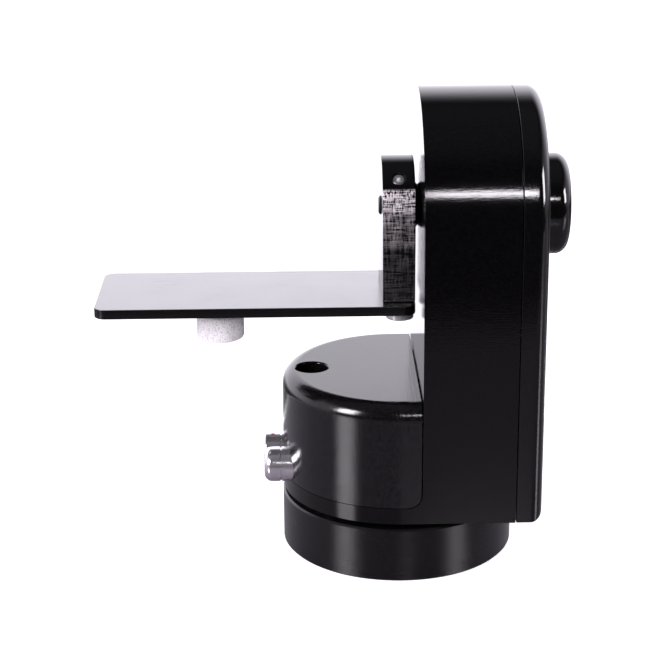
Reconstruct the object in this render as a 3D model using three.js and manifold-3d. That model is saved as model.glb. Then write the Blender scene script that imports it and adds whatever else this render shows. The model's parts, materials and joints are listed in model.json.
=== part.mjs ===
// A motorised pan and tilt head for a small camera, in millimetres, +Z up.
// The base stands on a tripod. The L-shaped frame turns on it about a vertical axis, and the arm with the
// camera plate turns about a level axis at the top of the frame's tower. Two gear motors in the tower drive
// both axes through worms and worm wheels.
// X runs from the plate towards the tower, and Y away from the side that shows the front of the arm.
import * as THREE from "three";
import { mergeVertices } from "three/addons/utils/BufferGeometryUtils.js";
import Module from "manifold-3d";

const wasm = await Module();
wasm.setup();

// Clearances
const fit = 0.1; // between pieces that are fixed to each other
const play = 0.3; // between pieces that move on each other, and along seams that show
const overrun = 1; // how far a cutting solid runs past the face that it cuts

// Base, a turned disc that stands still on the tripod
const baseRadius = 40;
const baseHeight = 18.7;
const turnedChamfer = 0.6;
const hubFlangeRadius = 20;
const hubFlangeThickness = 6;
const tripodBoreRadius = 4.1;
const insertRadius = 7;
const insertFlangeRadius = 9;
const insertFlangeThickness = 3;
const hubScrewCount = 3;
const hubScrewCircle = 14.4;
const hubThreadEnd = 1;

// Screws: head radius, head height and shank radius of each kind
const hubScrewHeadRadius = 3.5;
const hubScrewHeadHeight = 4;
const hubScrewRadius = 2;
const coverScrewHeadRadius = 2.8;
const coverScrewRadius = 1.5;
const coverScrewLength = 12;
const screwBossWall = 2;
const bossSunk = 0.5;

// Pan bearing on the hub
const panGap = 2.1;
const bearingBoreRadius = 12.5;
const bearingOuterRadius = 18.5;
const bearingWidth = 7;
const bearingRingWall = 1.8;
const ballCount = 8;
const cageWall = 0.8;
const ballGrooveShare = 1 / 3; // of a ring's wall
const bearingSeatLip = 1;
const retainerThickness = 1.5;

// Worm drives, the same teeth on both axes. Wheel, worm and motor lie side by side and fill the tower,
// which gives the teeth their module. The radii of worm, motor and motor shaft are shares of that module.
const wheelTeeth = 40;
const wheelWidth = 8;
const wormPitchShare = 5;
const motorRadiusShare = 10;
const threadLengthShare = 0.54; // of the worm's length
const backlash = 0.35;
const addendumShare = 0.9;
const dedendumShare = 1.15;
const pressureAngle = (20 * Math.PI) / 180;
const hubNeckRadius = 10;
const hubNutRadius = 14;
const hubNutHeight = 5;
const motorClearance = 0.8;
const motorFloorClearance = 0.6;
const motorEndClearance = 1;
const motorWheelClearance = 0.25;
const motorShaftShare = 2;
const bracketThickness = 2.5;
const wormBushLength = 4;

// Foot and round cover of the pan head
const headRadius = 39.8;
const footThickness = 5.6;
const coverHeight = 36.2;
const coverEdgeRadius = 4;
const coverWall = 3.6;
const coverRoof = 4;
const frameCornerRadius = 4.8;
const cablePortRadius = 5.6;
const cablePortInset = 10.2; // from the cover's side to the port's middle
const cablePortChamfer = 0.5;
const cablePortDepth = 8;
const cablePortWall = 1.6;
const coverScrewAngles = [142, 218, 270];

// Tower of the frame and the cover on its outer side
const towerFace = 6.5;
const frameDepth = 31;
const towerCoverDepth = 9;
const towerEdgeRadius = 4;
const frameWall = 4;
const tiltHeight = 120.2;
const portalMargin = 3;
const towerScrewLowHeight = 52;

// Tilt shaft, its bushes and its friction clutch
const shaftRadius = 3.175;
const shaftStandOut = 0.8;
const shaftChamfer = 0.4;
const bushFlangeRadius = 8;
const bushFlangeChamfer = 1.1;
const bushWall = 1.9;
const innerBushLength = 9;
const clutchTubeWall = 1.7;
const collarRadius = 8;
const collarWidth = 2.8;
const frictionWasherThickness = 0.8;
const outerBushFlange = 0.4;

// Tilt arm with the camera plate under it
const armThickness = 10.8;
const armGap = 1.5;
const armHalfWidth = 16.8;
const plateDrop = 29.2;
const plateThickness = 3.3;
const plateReach = 101.6;
const plateHalfWidth = 21.4;
const plateCornerRadius = 4;
const setScrewRadius = 2;
const setScrewSink = 0.5;
const setScrewAngle = (45 * Math.PI) / 180;
const plateScrewRadius = 2.5;
const plateScrewHeadRadius = 4.7;
const plateScrewHeadHeight = 4.6;
const plateScrewLength = 15;
const plateScrewSpacing = 16;
const plateScrewShift = 0.7;

// Knob of the tilt clutch
const knobRadius = 17;
const knobLength = 9.4;
const knobEdgeRadius = 4;
const knobRecessRadius = 11;
const knobRecessDepth = 1.6;
const knobThreadDepth = 6;

// Camera screw under the plate, let down so that its tip is level with the plate's top
const cameraScrewReach = 60.7;
const cameraScrewRadius = 3.1;
const cameraHeadRadius = 8.1;
const cameraHeadHeight = 9;
const cameraHeadChamfer = 0.9;
const cameraScrewDrop = 4.6;
const knurlCount = 24;
const knurlDepth = 0.3;
const captiveWasherRadius = 6;
const captiveWasherThickness = 0.8;

// Round sockets on the pan cover
const frontSocketY = -10.3;
const rearSocketY = 3.4;
const socketRise = 4.6;
const socketRadius = 6;
const socketLength = 6.2;
const socketStandOff = 0.3;
const socketRim = 1.3;
const socketDepth = 4.9;
const socketNeckRadius = 3.2;
const socketNeckWall = 0.8;
const socketPadDepth = 7.5;
const socketPadMargin = 6.4;
const socketRounding = 2.6;
const socketNutRadius = 4.3;
const socketNutThickness = 2.5;
const contactCount = 4;
const contactRadius = 0.5;
const contactCircle = 3;
const contactDepth = 4;

// Circuit board in the tower
const boardThickness = 1.6;
const boardWidth = 34;
const boardStandoff = 4;
const standoffRadius = 2.2;
const boardMargin = 3.2;
const boardWheelGap = 9.6;
const boardPortalGap = 4.3;
const chipThickness = 1.5;
const chipSizeShare = 0.43; // of the board's height

// Number of facets round large, middling and small circles
const largeFacets = 40;
const middleFacets = 16;
const smallFacets = 8;

// Places worked out from the sizes above
const footBottom = baseHeight + panGap;
const footTop = footBottom + footThickness;
const coverTop = footTop + coverHeight;
const towerSeam = towerFace + frameDepth;
const towerEnd = towerSeam + towerCoverDepth;
const cavityHalf = headRadius - frameWall;
const shoulderTop = footBottom + bearingSeatLip;
const bearingTop = shoulderTop + bearingWidth;
const seatBossRadius = bearingOuterRadius + fit + frameWall;
const gearModule = (cavityHalf - motorClearance) / (wheelTeeth / 2 + wormPitchShare + motorRadiusShare);
const wheelPitchRadius = (gearModule * wheelTeeth) / 2;
const wormPitchRadius = gearModule * wormPitchShare;
const motorRadius = gearModule * motorRadiusShare;
const motorShaftRadius = gearModule * motorShaftShare;
const driveOffset = wheelPitchRadius + wormPitchRadius;
const wheelRoom = wheelPitchRadius + addendumShare * gearModule + motorWheelClearance;
const panWheelMiddle = footTop + motorFloorClearance + motorRadius;
const panWheelBottom = panWheelMiddle - wheelWidth / 2;
const hubTop = panWheelBottom + wheelWidth + hubNutHeight + fit;
const hubSeat = baseHeight - hubFlangeThickness;
const armRight = towerFace - armGap;
const armLeft = armRight - armThickness;
const plateTop = tiltHeight - plateDrop;
const plateBottom = plateTop - plateThickness;
const bushBore = shaftRadius + fit;
const innerBushRadius = bushBore + bushWall;
const collarStart = towerFace + innerBushLength + play;
const tiltWheelStart = collarStart + collarWidth + frictionWasherThickness + 2 * fit;
const tiltWheelMiddle = tiltWheelStart + wheelWidth / 2;
const portalTop = coverTop - coverRoof - play;
const clutchTubeRadius = shaftRadius + fit + clutchTubeWall;
const outerBushRadius = clutchTubeRadius + play + bushWall;
const knobStart = towerEnd + outerBushFlange + play;
const knobEnd = knobStart + knobLength;
const socketFace = -headRadius - socketStandOff;
const socketHeight = footTop + socketRise;
const socketPadFace = -headRadius + socketPadDepth;
const socketNeckEnd = socketPadFace + socketNutThickness + fit;
const cablePortReach = headRadius - cablePortInset;
const panAxisShift = (plateReach - knobEnd) / 2;

// Distances along a worm's axis from its middle. The motor's face lies just clear of the wheel's teeth, then
// come its bracket and the worm, and the bush at the worm's far end.
const motorFace = Math.sqrt(wheelRoom ** 2 - (driveOffset - motorRadius) ** 2);
const motorLength = towerEnd - coverWall - motorEndClearance - motorFace;
const bracketNear = motorFace - bracketThickness - fit;
const wormLength = 2 * (bracketNear - play);
const threadLength = threadLengthShare * wormLength;
const bushNear = bracketNear;
const bushFar = bushNear + wormBushLength;

// Materials
function finish(color, roughness, metalness) {
  return new THREE.MeshStandardMaterial({ color, roughness, metalness });
}

const anodised = finish(0x17161a, 0.35, 0.6);
const steel = finish(0xb9bbc0, 0.3, 1);
const chrome = finish(0xdcdde0, 0.12, 1);
const bronze = finish(0xb07a3a, 0.4, 1);
const motorCan = finish(0x8d9096, 0.4, 0.9);
const blackPolymer = finish(0x0d0d0e, 0.6, 0);
const boardGreen = finish(0x1d5a34, 0.6, 0);
const chipBlack = finish(0x1a1a1c, 0.5, 0);
const frictionPad = finish(0x6b5540, 0.9, 0);

// A closed geometry as a solid that can be joined and cut
function solid(geometry) {
  const bare = geometry.clone();
  bare.deleteAttribute("normal");
  bare.deleteAttribute("uv");
  const merged = mergeVertices(bare, 1e-4);
  const corners = merged.index.array;
  const kept = [];
  for (let i = 0; i < corners.length; i += 3) {
    const [a, b, c] = [corners[i], corners[i + 1], corners[i + 2]];
    if (a !== b && b !== c && c !== a) kept.push(a, b, c);
  }
  return new wasm.Manifold(
    new wasm.Mesh({
      numProp: 3,
      vertProperties: merged.getAttribute("position").array,
      triVerts: new Uint32Array(kept),
    }),
  );
}

function joined(...parts) {
  return parts.reduce((whole, part) => whole.add(part));
}

function cut(body, ...tools) {
  return tools.reduce((rest, tool) => rest.subtract(tool), body);
}

// A solid or a geometry as a named mesh
function piece(name, shape, material) {
  let geometry = shape;
  if (!shape.isBufferGeometry) {
    const mesh = shape.getMesh();
    geometry = new THREE.BufferGeometry();
    geometry.setAttribute("position", new THREE.BufferAttribute(mesh.vertProperties, 3));
    geometry.setIndex(new THREE.BufferAttribute(mesh.triVerts, 1));
    geometry.computeVertexNormals();
  }
  const made = new THREE.Mesh(geometry, material);
  made.name = name;
  return made;
}

// Like pieces, numbered from 1
function pieces(name, shapes, material) {
  return shapes.map((shape, i) => piece(`${name}_${i + 1}`, shape, material));
}

// Local x, y and z laid along Y, Z and X, for shapes that lie along the tilt axis
const lyingAlongX = new THREE.Matrix4().makeBasis(
  new THREE.Vector3(0, 1, 0),
  new THREE.Vector3(0, 0, 1),
  new THREE.Vector3(1, 0, 0),
);

// A profile of [radius, height] pairs, counterclockwise, turned about Z
function revolved(profile, facets) {
  const points = profile.map(([radius, height]) => new THREE.Vector2(radius, height));
  const geometry = new THREE.LatheGeometry(points, facets).rotateX(Math.PI / 2);
  return solid(geometry);
}

function revolvedAlongX(profile, facets) {
  const points = profile.map(([radius, along]) => new THREE.Vector2(radius, along));
  const geometry = new THREE.LatheGeometry(points, facets).rotateX(Math.PI / 2);
  return solid(geometry.applyMatrix4(lyingAlongX));
}

// A profile round a bore has to close on itself
function ring(inner, outer, low, high) {
  return [[inner, low], [outer, low], [outer, high], [inner, high], [inner, low]];
}

function disc(radius, low, high) {
  return [[0, low], [radius, low], [radius, high], [0, high]];
}

function box(x0, x1, y0, y1, z0, z1) {
  const geometry = new THREE.BoxGeometry(x1 - x0, y1 - y0, z1 - z0);
  return solid(geometry.translate((x0 + x1) / 2, (y0 + y1) / 2, (z0 + z1) / 2));
}

function extruded(shape, depth, curveFacets) {
  return new THREE.ExtrudeGeometry(shape, { depth, bevelEnabled: false, curveSegments: curveFacets });
}

// A pin or hole along X, Y or Z, from low to high along that axis
function rodX(radius, y, z, low, high, facets = smallFacets) {
  return revolvedAlongX(disc(radius, low, high), facets).translate([0, y, z]);
}

function rodZ(radius, x, y, low, high, facets = smallFacets) {
  return revolved(disc(radius, low, high), facets).translate([x, y, 0]);
}

function rodY(radius, x, z, low, high, facets = smallFacets) {
  return revolved(disc(radius, low, high), facets).rotate([-90, 0, 0]).translate([x, 0, z]);
}

// Places evenly round a circle
function around(count, radius, firstAngle = 0) {
  return Array.from({ length: count }, (_, i) => {
    const angle = firstAngle + (2 * Math.PI * i) / count;
    return [radius * Math.cos(angle), radius * Math.sin(angle)];
  });
}

// A screw with a round head and a hexagon socket, pointing up, with the head's seat at height zero
function capScrew(headRadius, headHeight, radius, length, facets) {
  const edge = headRadius / 8;
  const outline = [
    [0, -headHeight],
    [headRadius - edge, -headHeight],
    [headRadius, edge - headHeight],
    [headRadius, 0],
    [radius, 0],
    [radius, length],
    [0, length],
  ];
  const socket = revolved(disc(headRadius / 2, -headHeight - overrun, -headHeight / 2), 6);
  return cut(revolved(outline, facets), socket);
}

// A screw with a cone under its head, pointing up, with the head's face at height zero
function flatScrew(headRadius, radius, length) {
  const cone = headRadius - radius;
  const outline = [[0, 0], [headRadius, 0], [radius, cone], [radius, length], [0, length]];
  const socket = revolved(disc(radius / 2 + fit, -overrun, cone / 2), 6);
  return cut(revolved(outline, smallFacets), socket);
}

// The hole that a flat screw sinks into
function flatScrewHole(headRadius, radius, length) {
  const cone = headRadius - radius;
  const outline = [
    [0, -overrun],
    [headRadius + fit, -overrun],
    [headRadius + fit, fit],
    [radius + fit, cone + fit],
    [radius + fit, length],
    [0, length],
  ];
  return revolved(outline, smallFacets);
}

// Worm wheel: straight-flanked teeth set on a slant, with a gap facing the worm
function wormWheel(boreRadius, towardsWorm) {
  const pitch = (2 * Math.PI) / wheelTeeth;
  const halfTooth = (Math.PI * gearModule) / 4 - backlash / 4;
  const addendum = addendumShare * gearModule;
  const dedendum = dedendumShare * gearModule;
  const tip = wheelPitchRadius + addendum;
  const root = wheelPitchRadius - dedendum;
  const tipHalf = (halfTooth - addendum * Math.tan(pressureAngle)) / tip;
  const rootHalf = (halfTooth + dedendum * Math.tan(pressureAngle)) / root;
  const shape = new THREE.Shape();
  for (let tooth = 0; tooth < wheelTeeth; tooth += 1) {
    const middle = towardsWorm + (tooth + 1 / 2) * pitch;
    const corners = [[root, -rootHalf], [tip, -tipHalf], [tip, tipHalf], [root, rootHalf]];
    for (const [radius, turn] of corners) {
      const x = radius * Math.cos(middle + turn);
      const y = radius * Math.sin(middle + turn);
      if (tooth === 0 && turn === -rootHalf) shape.moveTo(x, y);
      else shape.lineTo(x, y);
    }
  }
  const slantPerLength = gearModule / 2 / wormPitchRadius / wheelPitchRadius;
  const geometry = new THREE.ExtrudeGeometry(shape, { depth: wheelWidth, bevelEnabled: false });
  const points = geometry.getAttribute("position");
  for (let i = 0; i < points.count; i += 1) {
    const height = points.getZ(i) - wheelWidth / 2;
    const turn = height * slantPerLength;
    const [x, y] = [points.getX(i), points.getY(i)];
    const turnedX = x * Math.cos(turn) - y * Math.sin(turn);
    const turnedY = x * Math.sin(turn) + y * Math.cos(turn);
    points.setXYZ(i, turnedX, turnedY, height);
  }
  const half = wheelWidth / 2;
  return cut(solid(geometry), revolved(disc(boreRadius, -half - overrun, half + overrun), middleFacets));
}

// Worm: one right-handed thread on a core, centred on height zero, with its thread's middle there on the
// side that faces the wheel
function worm(towardsWheel) {
  const lead = Math.PI * gearModule;
  const stepsPerTurn = 8;
  const halfTurns = Math.ceil(threadLength / lead / 2) + 1;
  const tip = wormPitchRadius + addendumShare * gearModule;
  const root = wormPitchRadius - dedendumShare * gearModule;
  const halfThread = lead / 4 - backlash / 2;
  const flank = Math.tan(pressureAngle);
  const sunk = root - gearModule / 2;
  const section = [
    [sunk, -halfThread - (wormPitchRadius - sunk) * flank],
    [tip, -halfThread + (tip - wormPitchRadius) * flank],
    [tip, halfThread - (tip - wormPitchRadius) * flank],
    [sunk, halfThread + (wormPitchRadius - sunk) * flank],
  ];
  const steps = 2 * halfTurns * stepsPerTurn;
  const places = [];
  for (let i = 0; i <= steps; i += 1) {
    const turns = i / stepsPerTurn - halfTurns;
    const angle = towardsWheel + 2 * Math.PI * turns;
    for (const [radius, along] of section) {
      places.push(radius * Math.cos(angle), radius * Math.sin(angle), lead * turns + along);
    }
  }
  const faces = [];
  for (let i = 0; i < steps; i += 1) {
    for (let k = 0; k < 4; k += 1) {
      const a = 4 * i + k;
      const b = 4 * i + ((k + 1) % 4);
      faces.push(a, a + 4, b, b, a + 4, b + 4);
    }
  }
  const last = 4 * steps;
  faces.push(0, 1, 2, 0, 2, 3, last, last + 2, last + 1, last, last + 3, last + 2);
  const thread = new THREE.BufferGeometry();
  thread.setAttribute("position", new THREE.BufferAttribute(new Float32Array(places), 3));
  thread.setIndex(faces);
  const half = wormLength / 2;
  const core = revolved(disc(root, -half, half), smallFacets);
  const halfThreaded = threadLength / 2;
  const limit = revolved(disc(tip + overrun, -halfThreaded, halfThreaded), smallFacets);
  const bore = revolved(disc(motorShaftRadius + fit, -half - overrun, half + overrun), smallFacets);
  return cut(joined(core, solid(thread).intersect(limit)), bore);
}

// Base with the hub that carries the bearing and the fixed worm wheel
function base() {
  const insertTop = hubSeat;
  const insertStep = insertTop - insertFlangeThickness;
  const outline = [
    [0, 0],
    [baseRadius - turnedChamfer, 0],
    [baseRadius, turnedChamfer],
    [baseRadius, baseHeight - turnedChamfer],
    [baseRadius - turnedChamfer, baseHeight],
    [0, baseHeight],
  ];
  const inside = [
    [0, -overrun],
    [insertRadius + fit, -overrun],
    [insertRadius + fit, insertStep],
    [insertFlangeRadius + fit, insertStep],
    [insertFlangeRadius + fit, hubSeat],
    [hubFlangeRadius + fit, hubSeat],
    [hubFlangeRadius + fit, baseHeight + overrun],
    [0, baseHeight + overrun],
  ];
  const counterbore = hubScrewHeadHeight + 2 * fit;
  const holes = around(hubScrewCount, hubScrewCircle, Math.PI / hubScrewCount).map(([x, y]) =>
    joined(
      rodZ(hubScrewHeadRadius + fit, x, y, -overrun, counterbore),
      rodZ(hubScrewRadius + fit, x, y, counterbore - fit, hubSeat + overrun),
    ),
  );
  return cut(revolved(outline, largeFacets), revolved(inside, middleFacets), ...holes);
}

function tripodInsert() {
  const top = hubSeat - fit;
  const step = hubSeat - insertFlangeThickness + fit;
  const outline = [
    [tripodBoreRadius, fit],
    [insertRadius, fit],
    [insertRadius, step],
    [insertFlangeRadius, step],
    [insertFlangeRadius, top],
    [tripodBoreRadius, top],
    [tripodBoreRadius, fit],
  ];
  return revolved(outline, middleFacets);
}

function panHub() {
  const bore = insertRadius - fit;
  const outline = [
    [bore, hubSeat + fit],
    [hubFlangeRadius, hubSeat + fit],
    [hubFlangeRadius, baseHeight],
    [bearingBoreRadius + bearingRingWall, baseHeight],
    [bearingBoreRadius + bearingRingWall, shoulderTop],
    [bearingBoreRadius, shoulderTop],
    [bearingBoreRadius, bearingTop],
    [hubNeckRadius, bearingTop],
    [hubNeckRadius, hubTop],
    [bore, hubTop],
    [bore, hubSeat + fit],
  ];
  const threads = around(hubScrewCount, hubScrewCircle, Math.PI / hubScrewCount).map(([x, y]) =>
    rodZ(hubScrewRadius + fit, x, y, hubSeat, baseHeight - hubThreadEnd),
  );
  return cut(revolved(outline, middleFacets), ...threads);
}

function hubNut() {
  const low = panWheelBottom + wheelWidth + fit;
  const high = low + hubNutHeight - fit;
  const bore = revolved(disc(hubNeckRadius + fit, low - overrun, high + overrun), middleFacets);
  return cut(revolved(disc(hubNutRadius, low, high), smallFacets), bore);
}

function hubScrews() {
  const length = baseHeight - hubThreadEnd - fit - hubScrewHeadHeight - 2 * fit;
  const screw = capScrew(hubScrewHeadRadius, hubScrewHeadHeight, hubScrewRadius, length, smallFacets);
  const places = around(hubScrewCount, hubScrewCircle, Math.PI / hubScrewCount);
  return places.map(([x, y]) => screw.translate([x, y, hubScrewHeadHeight + fit]));
}

// The bearing's rings have a groove that the balls run in
const ballCircle = (bearingBoreRadius + bearingOuterRadius) / 2;
const ballGroove = bearingRingWall * ballGrooveShare;
const ballRadius = (bearingOuterRadius - bearingBoreRadius) / 2 - bearingRingWall + ballGroove;

function bearingRing(back, front, towardsBalls) {
  const low = shoulderTop + fit;
  const high = bearingTop;
  const middle = (low + high) / 2;
  const groove = (ballGroove + play / 2) * towardsBalls;
  const half = Math.sqrt(ballRadius ** 2 - (ballRadius - ballGroove) ** 2);
  const floor = half / 2;
  const side = [
    [front, low],
    [front, middle - half],
    [front - groove, middle - floor],
    [front - groove, middle + floor],
    [front, middle + half],
    [front, high],
  ];
  if (towardsBalls > 0) return revolved([[back, low], ...side, [back, high], [back, low]], middleFacets);
  return revolved([[back, high], ...side.reverse(), [back, low], [back, high]], middleFacets);
}

// The balls with the cage that keeps them apart
function bearingBalls() {
  const ball = solid(new THREE.SphereGeometry(ballRadius - play, 6, 3));
  const middle = (shoulderTop + fit + bearingTop) / 2;
  const balls = around(ballCount, ballCircle).map(([x, y]) => ball.translate([x, y, middle]));
  const half = ballRadius / 2;
  const cage = ring(ballCircle - cageWall / 2, ballCircle + cageWall / 2, middle - half, middle + half);
  return joined(revolved(cage, middleFacets), ...balls);
}

// Outline of the tower seen along X, drawn in from the outside by an inset, with its foot at a height
function towerOutline(inset, bottom) {
  const half = headRadius - inset;
  const shape = new THREE.Shape();
  shape.moveTo(-half, bottom);
  shape.lineTo(half, bottom);
  shape.lineTo(half, tiltHeight);
  shape.absarc(0, tiltHeight, half, 0, Math.PI, false);
  shape.lineTo(-half, bottom);
  return shape;
}

function towerBlock(inset, bottom, x0, x1) {
  const geometry = extruded(towerOutline(inset, bottom), x1 - x0, largeFacets / 2);
  return solid(geometry.translate(0, 0, x0).applyMatrix4(lyingAlongX));
}

// Places of the screws that hold the tower's cover, as [y, z] pairs
const bossRadius = coverScrewRadius + screwBossWall;
const towerScrewHalf = headRadius - frameWall - bossRadius + bossSunk;
const towerScrewPlaces = [
  [towerScrewHalf, towerScrewLowHeight],
  [-towerScrewHalf, towerScrewLowHeight],
  [towerScrewHalf * Math.SQRT1_2, tiltHeight + towerScrewHalf * Math.SQRT1_2],
  [-towerScrewHalf * Math.SQRT1_2, tiltHeight + towerScrewHalf * Math.SQRT1_2],
];
const coverScrewPlaces = coverScrewAngles.map((degrees) => {
  const angle = (degrees * Math.PI) / 180;
  const reach = headRadius - coverWall - bossRadius + bossSunk;
  return [reach * Math.cos(angle), reach * Math.sin(angle)];
});

// The rounded inner corner between the foot and the tower's face, and the room that the cover leaves it
function cornerFillet(radius, clearance) {
  const x = towerFace - radius;
  const z = footTop + radius;
  const block = box(x, towerFace + overrun, -headRadius, headRadius, footTop - overrun, z);
  const hollow = rodY(radius - clearance, x, z, -headRadius - overrun, headRadius + overrun, middleFacets);
  return cut(block, hollow);
}

// L-shaped frame, milled from one piece: foot, tower walls, bearing seat and screw bosses
function lFrame() {
  const plan = new THREE.Shape();
  plan.moveTo(towerSeam, -headRadius);
  plan.lineTo(towerSeam, headRadius);
  plan.lineTo(0, headRadius);
  plan.absarc(0, 0, headRadius, Math.PI / 2, (3 * Math.PI) / 2, false);
  plan.lineTo(towerSeam, -headRadius);
  const foot = solid(extruded(plan, footThickness, largeFacets / 2).translate(0, 0, footBottom));
  const tower = towerBlock(0, footBottom, towerFace, towerSeam);
  const wallEnd = towerFace + frameWall;
  const cavity = towerBlock(frameWall, footTop, wallEnd, towerSeam + overrun);
  const portalHalf = cavityHalf - portalMargin;
  const portalLeft = towerFace - frameCornerRadius - overrun;
  const portal = box(portalLeft, wallEnd + overrun, -portalHalf, portalHalf, footTop, portalTop);
  const seatRadius = bearingOuterRadius + fit;
  const seatBoss = revolved(disc(seatBossRadius, footTop - overrun, bearingTop), middleFacets);
  const bossStart = wallEnd - overrun;
  const bushBoss = rodX(innerBushRadius + frameWall, 0, tiltHeight, bossStart, collarStart - play - fit);
  const bosses = towerScrewPlaces.map(([y, z]) => rodX(bossRadius, y, z, bossStart, towerSeam));
  const boardPosts = boardCorners.map(([y, z]) =>
    rodX(standoffRadius, y, z, bossStart, boardLeft - fit),
  );
  const block = cut(joined(foot, tower, cornerFillet(frameCornerRadius, 0)), cavity, portal);
  const screwHoles = towerScrewPlaces.map(([y, z]) =>
    rodX(coverScrewRadius + fit, y, z, towerSeam - coverScrewLength, towerSeam + overrun),
  );
  const footHole = flatScrewHole(coverScrewHeadRadius, coverScrewRadius, footThickness + overrun);
  const footHoles = coverScrewPlaces.map(([x, y]) => footHole.translate([x, y, footBottom]));
  const lipRadius = (ballCircle + bearingOuterRadius) / 2;
  return cut(
    joined(block, seatBoss, bushBoss, ...bosses, ...boardPosts),
    revolved(disc(seatRadius, shoulderTop, bearingTop + overrun), middleFacets),
    revolved(disc(lipRadius, footBottom - overrun, shoulderTop + overrun), middleFacets),
    rodX(innerBushRadius + fit, 0, tiltHeight, towerFace - overrun, collarStart + overrun, middleFacets),
    ...screwHoles,
    ...footHoles,
  );
}

// A section of the round cover, from its foot over the rounded edge to the middle of its top
function coverSection(radius, bottom, top, edge) {
  const steps = 4;
  const section = [[radius, bottom]];
  for (let i = 0; i <= steps; i += 1) {
    const angle = (i / steps) * (Math.PI / 2);
    section.push([radius - edge + edge * Math.cos(angle), top - edge + edge * Math.sin(angle)]);
  }
  return section;
}

// Round on the left of the pan axis and straight from there to an end towards the tower
function coverForm(radius, bottom, top, edge, end) {
  const section = coverSection(radius, bottom, top, edge);
  const turned = revolved([[0, bottom], ...section, [0, top]], largeFacets);
  const half = radius + overrun;
  const round = cut(turned, box(overrun, half, -half, half, bottom - overrun, top + overrun));
  const shape = new THREE.Shape();
  shape.moveTo(-radius, bottom);
  section.forEach(([y, z]) => shape.lineTo(y, z));
  section.slice().reverse().forEach(([y, z]) => shape.lineTo(-y, z));
  const straight = solid(extruded(shape, end, 1).applyMatrix4(lyingAlongX));
  return joined(round, straight);
}

// Round cover of the pan head, a thin shell that stands on the foot and ends at the tower's face
function panCover() {
  const bottom = footTop + fit;
  const end = towerFace - play;
  const outside = coverForm(headRadius, bottom, coverTop, coverEdgeRadius, end);
  const innerTop = coverTop - coverRoof;
  const inside = coverForm(headRadius - coverWall, bottom - overrun, innerTop, coverWall / 2, end + overrun);
  const portBottom = coverTop - cablePortDepth;
  const bossTop = coverTop - coverRoof / 2;
  const portBoss = rodZ(cablePortRadius + cablePortWall, -cablePortReach, 0, portBottom, bossTop);
  const padFront = frontSocketY - socketPadMargin;
  const padRear = rearSocketY + socketPadMargin;
  const pad = box(-headRadius, socketPadFace, padFront, padRear, bottom, socketHeight + socketPadMargin);
  const middle = coverForm(headRadius - coverWall / 2, bottom, bossTop, coverWall, end);
  const shell = joined(cut(outside, inside), portBoss.intersect(middle), pad.intersect(middle));
  const bosses = coverScrewPlaces.map(([x, y]) => rodZ(bossRadius, x, y, bottom, bottom + coverScrewLength));
  const screwHoles = coverScrewPlaces.map(([x, y]) =>
    rodZ(coverScrewRadius + fit, x, y, bottom - overrun, footBottom + coverScrewLength + fit),
  );
  const port = revolved(
    [
      [0, portBottom - overrun],
      [cablePortRadius, portBottom - overrun],
      [cablePortRadius, coverTop - cablePortChamfer],
      [cablePortRadius + cablePortChamfer, coverTop],
      [cablePortRadius + cablePortChamfer, coverTop + overrun],
      [0, coverTop + overrun],
    ],
    middleFacets,
  ).translate([-cablePortReach, 0, 0]);
  const neckHoles = [frontSocketY, rearSocketY].map((y) =>
    rodX(socketNeckRadius + fit, y, socketHeight, socketFace, socketPadFace + overrun, middleFacets),
  );
  const nutRadius = socketNutRadius + play;
  const nutRooms = [frontSocketY, rearSocketY].map((y) =>
    rodX(nutRadius, y, socketHeight, socketPadFace, socketNeckEnd + play, middleFacets),
  );
  return cut(
    joined(shell, ...bosses),
    cornerFillet(frameCornerRadius, play),
    port,
    ...screwHoles,
    ...neckHoles,
    ...nutRooms,
  );
}

// Cover on the tower's outer side: a shell with a rounded outer edge, screwed to the frame
function towerCover() {
  const depth = towerCoverDepth - towerEdgeRadius;
  const form = new THREE.ExtrudeGeometry(towerOutline(towerEdgeRadius, footBottom + towerEdgeRadius), {
    depth: depth + towerEdgeRadius,
    bevelSize: towerEdgeRadius,
    bevelThickness: towerEdgeRadius,
    bevelSegments: 3,
    curveSegments: largeFacets / 2,
  });
  form.translate(0, 0, towerSeam - towerEdgeRadius).applyMatrix4(lyingAlongX);
  const back = box(
    towerSeam - 3 * towerEdgeRadius,
    towerSeam + fit,
    -headRadius - overrun,
    headRadius + overrun,
    footBottom - overrun,
    tiltHeight + headRadius + overrun,
  );
  const innerFace = towerEnd - coverWall;
  const cavity = towerBlock(frameWall, footTop, towerSeam - overrun, innerFace);
  const [bossStart, bossEnd] = [towerSeam + fit, innerFace + overrun];
  const bushBoss = rodX(outerBushRadius + frameWall / 2, 0, tiltHeight, bossStart, bossEnd);
  const bosses = towerScrewPlaces.map(([y, z]) => rodX(bossRadius, y, z, bossStart, bossEnd));
  const screwHole = flatScrewHole(coverScrewHeadRadius, coverScrewRadius, towerCoverDepth + overrun)
    .rotate([0, -90, 0])
    .translate([towerEnd, 0, 0]);
  return cut(
    joined(cut(solid(form), back, cavity), bushBoss, ...bosses),
    rodX(outerBushRadius + fit, 0, tiltHeight, towerSeam - overrun, towerEnd + overrun, middleFacets),
    ...towerScrewPlaces.map(([y, z]) => screwHole.translate([0, y, z])),
  );
}

function panCoverScrews() {
  const screw = flatScrew(coverScrewHeadRadius, coverScrewRadius, coverScrewLength);
  return coverScrewPlaces.map(([x, y]) => screw.translate([x, y, footBottom + fit]));
}

function towerCoverScrews() {
  const length = towerCoverDepth + coverScrewLength - 2 * fit - overrun;
  const screw = flatScrew(coverScrewHeadRadius, coverScrewRadius, length).rotate([0, -90, 0]);
  return towerScrewPlaces.map(([y, z]) => screw.translate([towerEnd - fit, y, z]));
}

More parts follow.
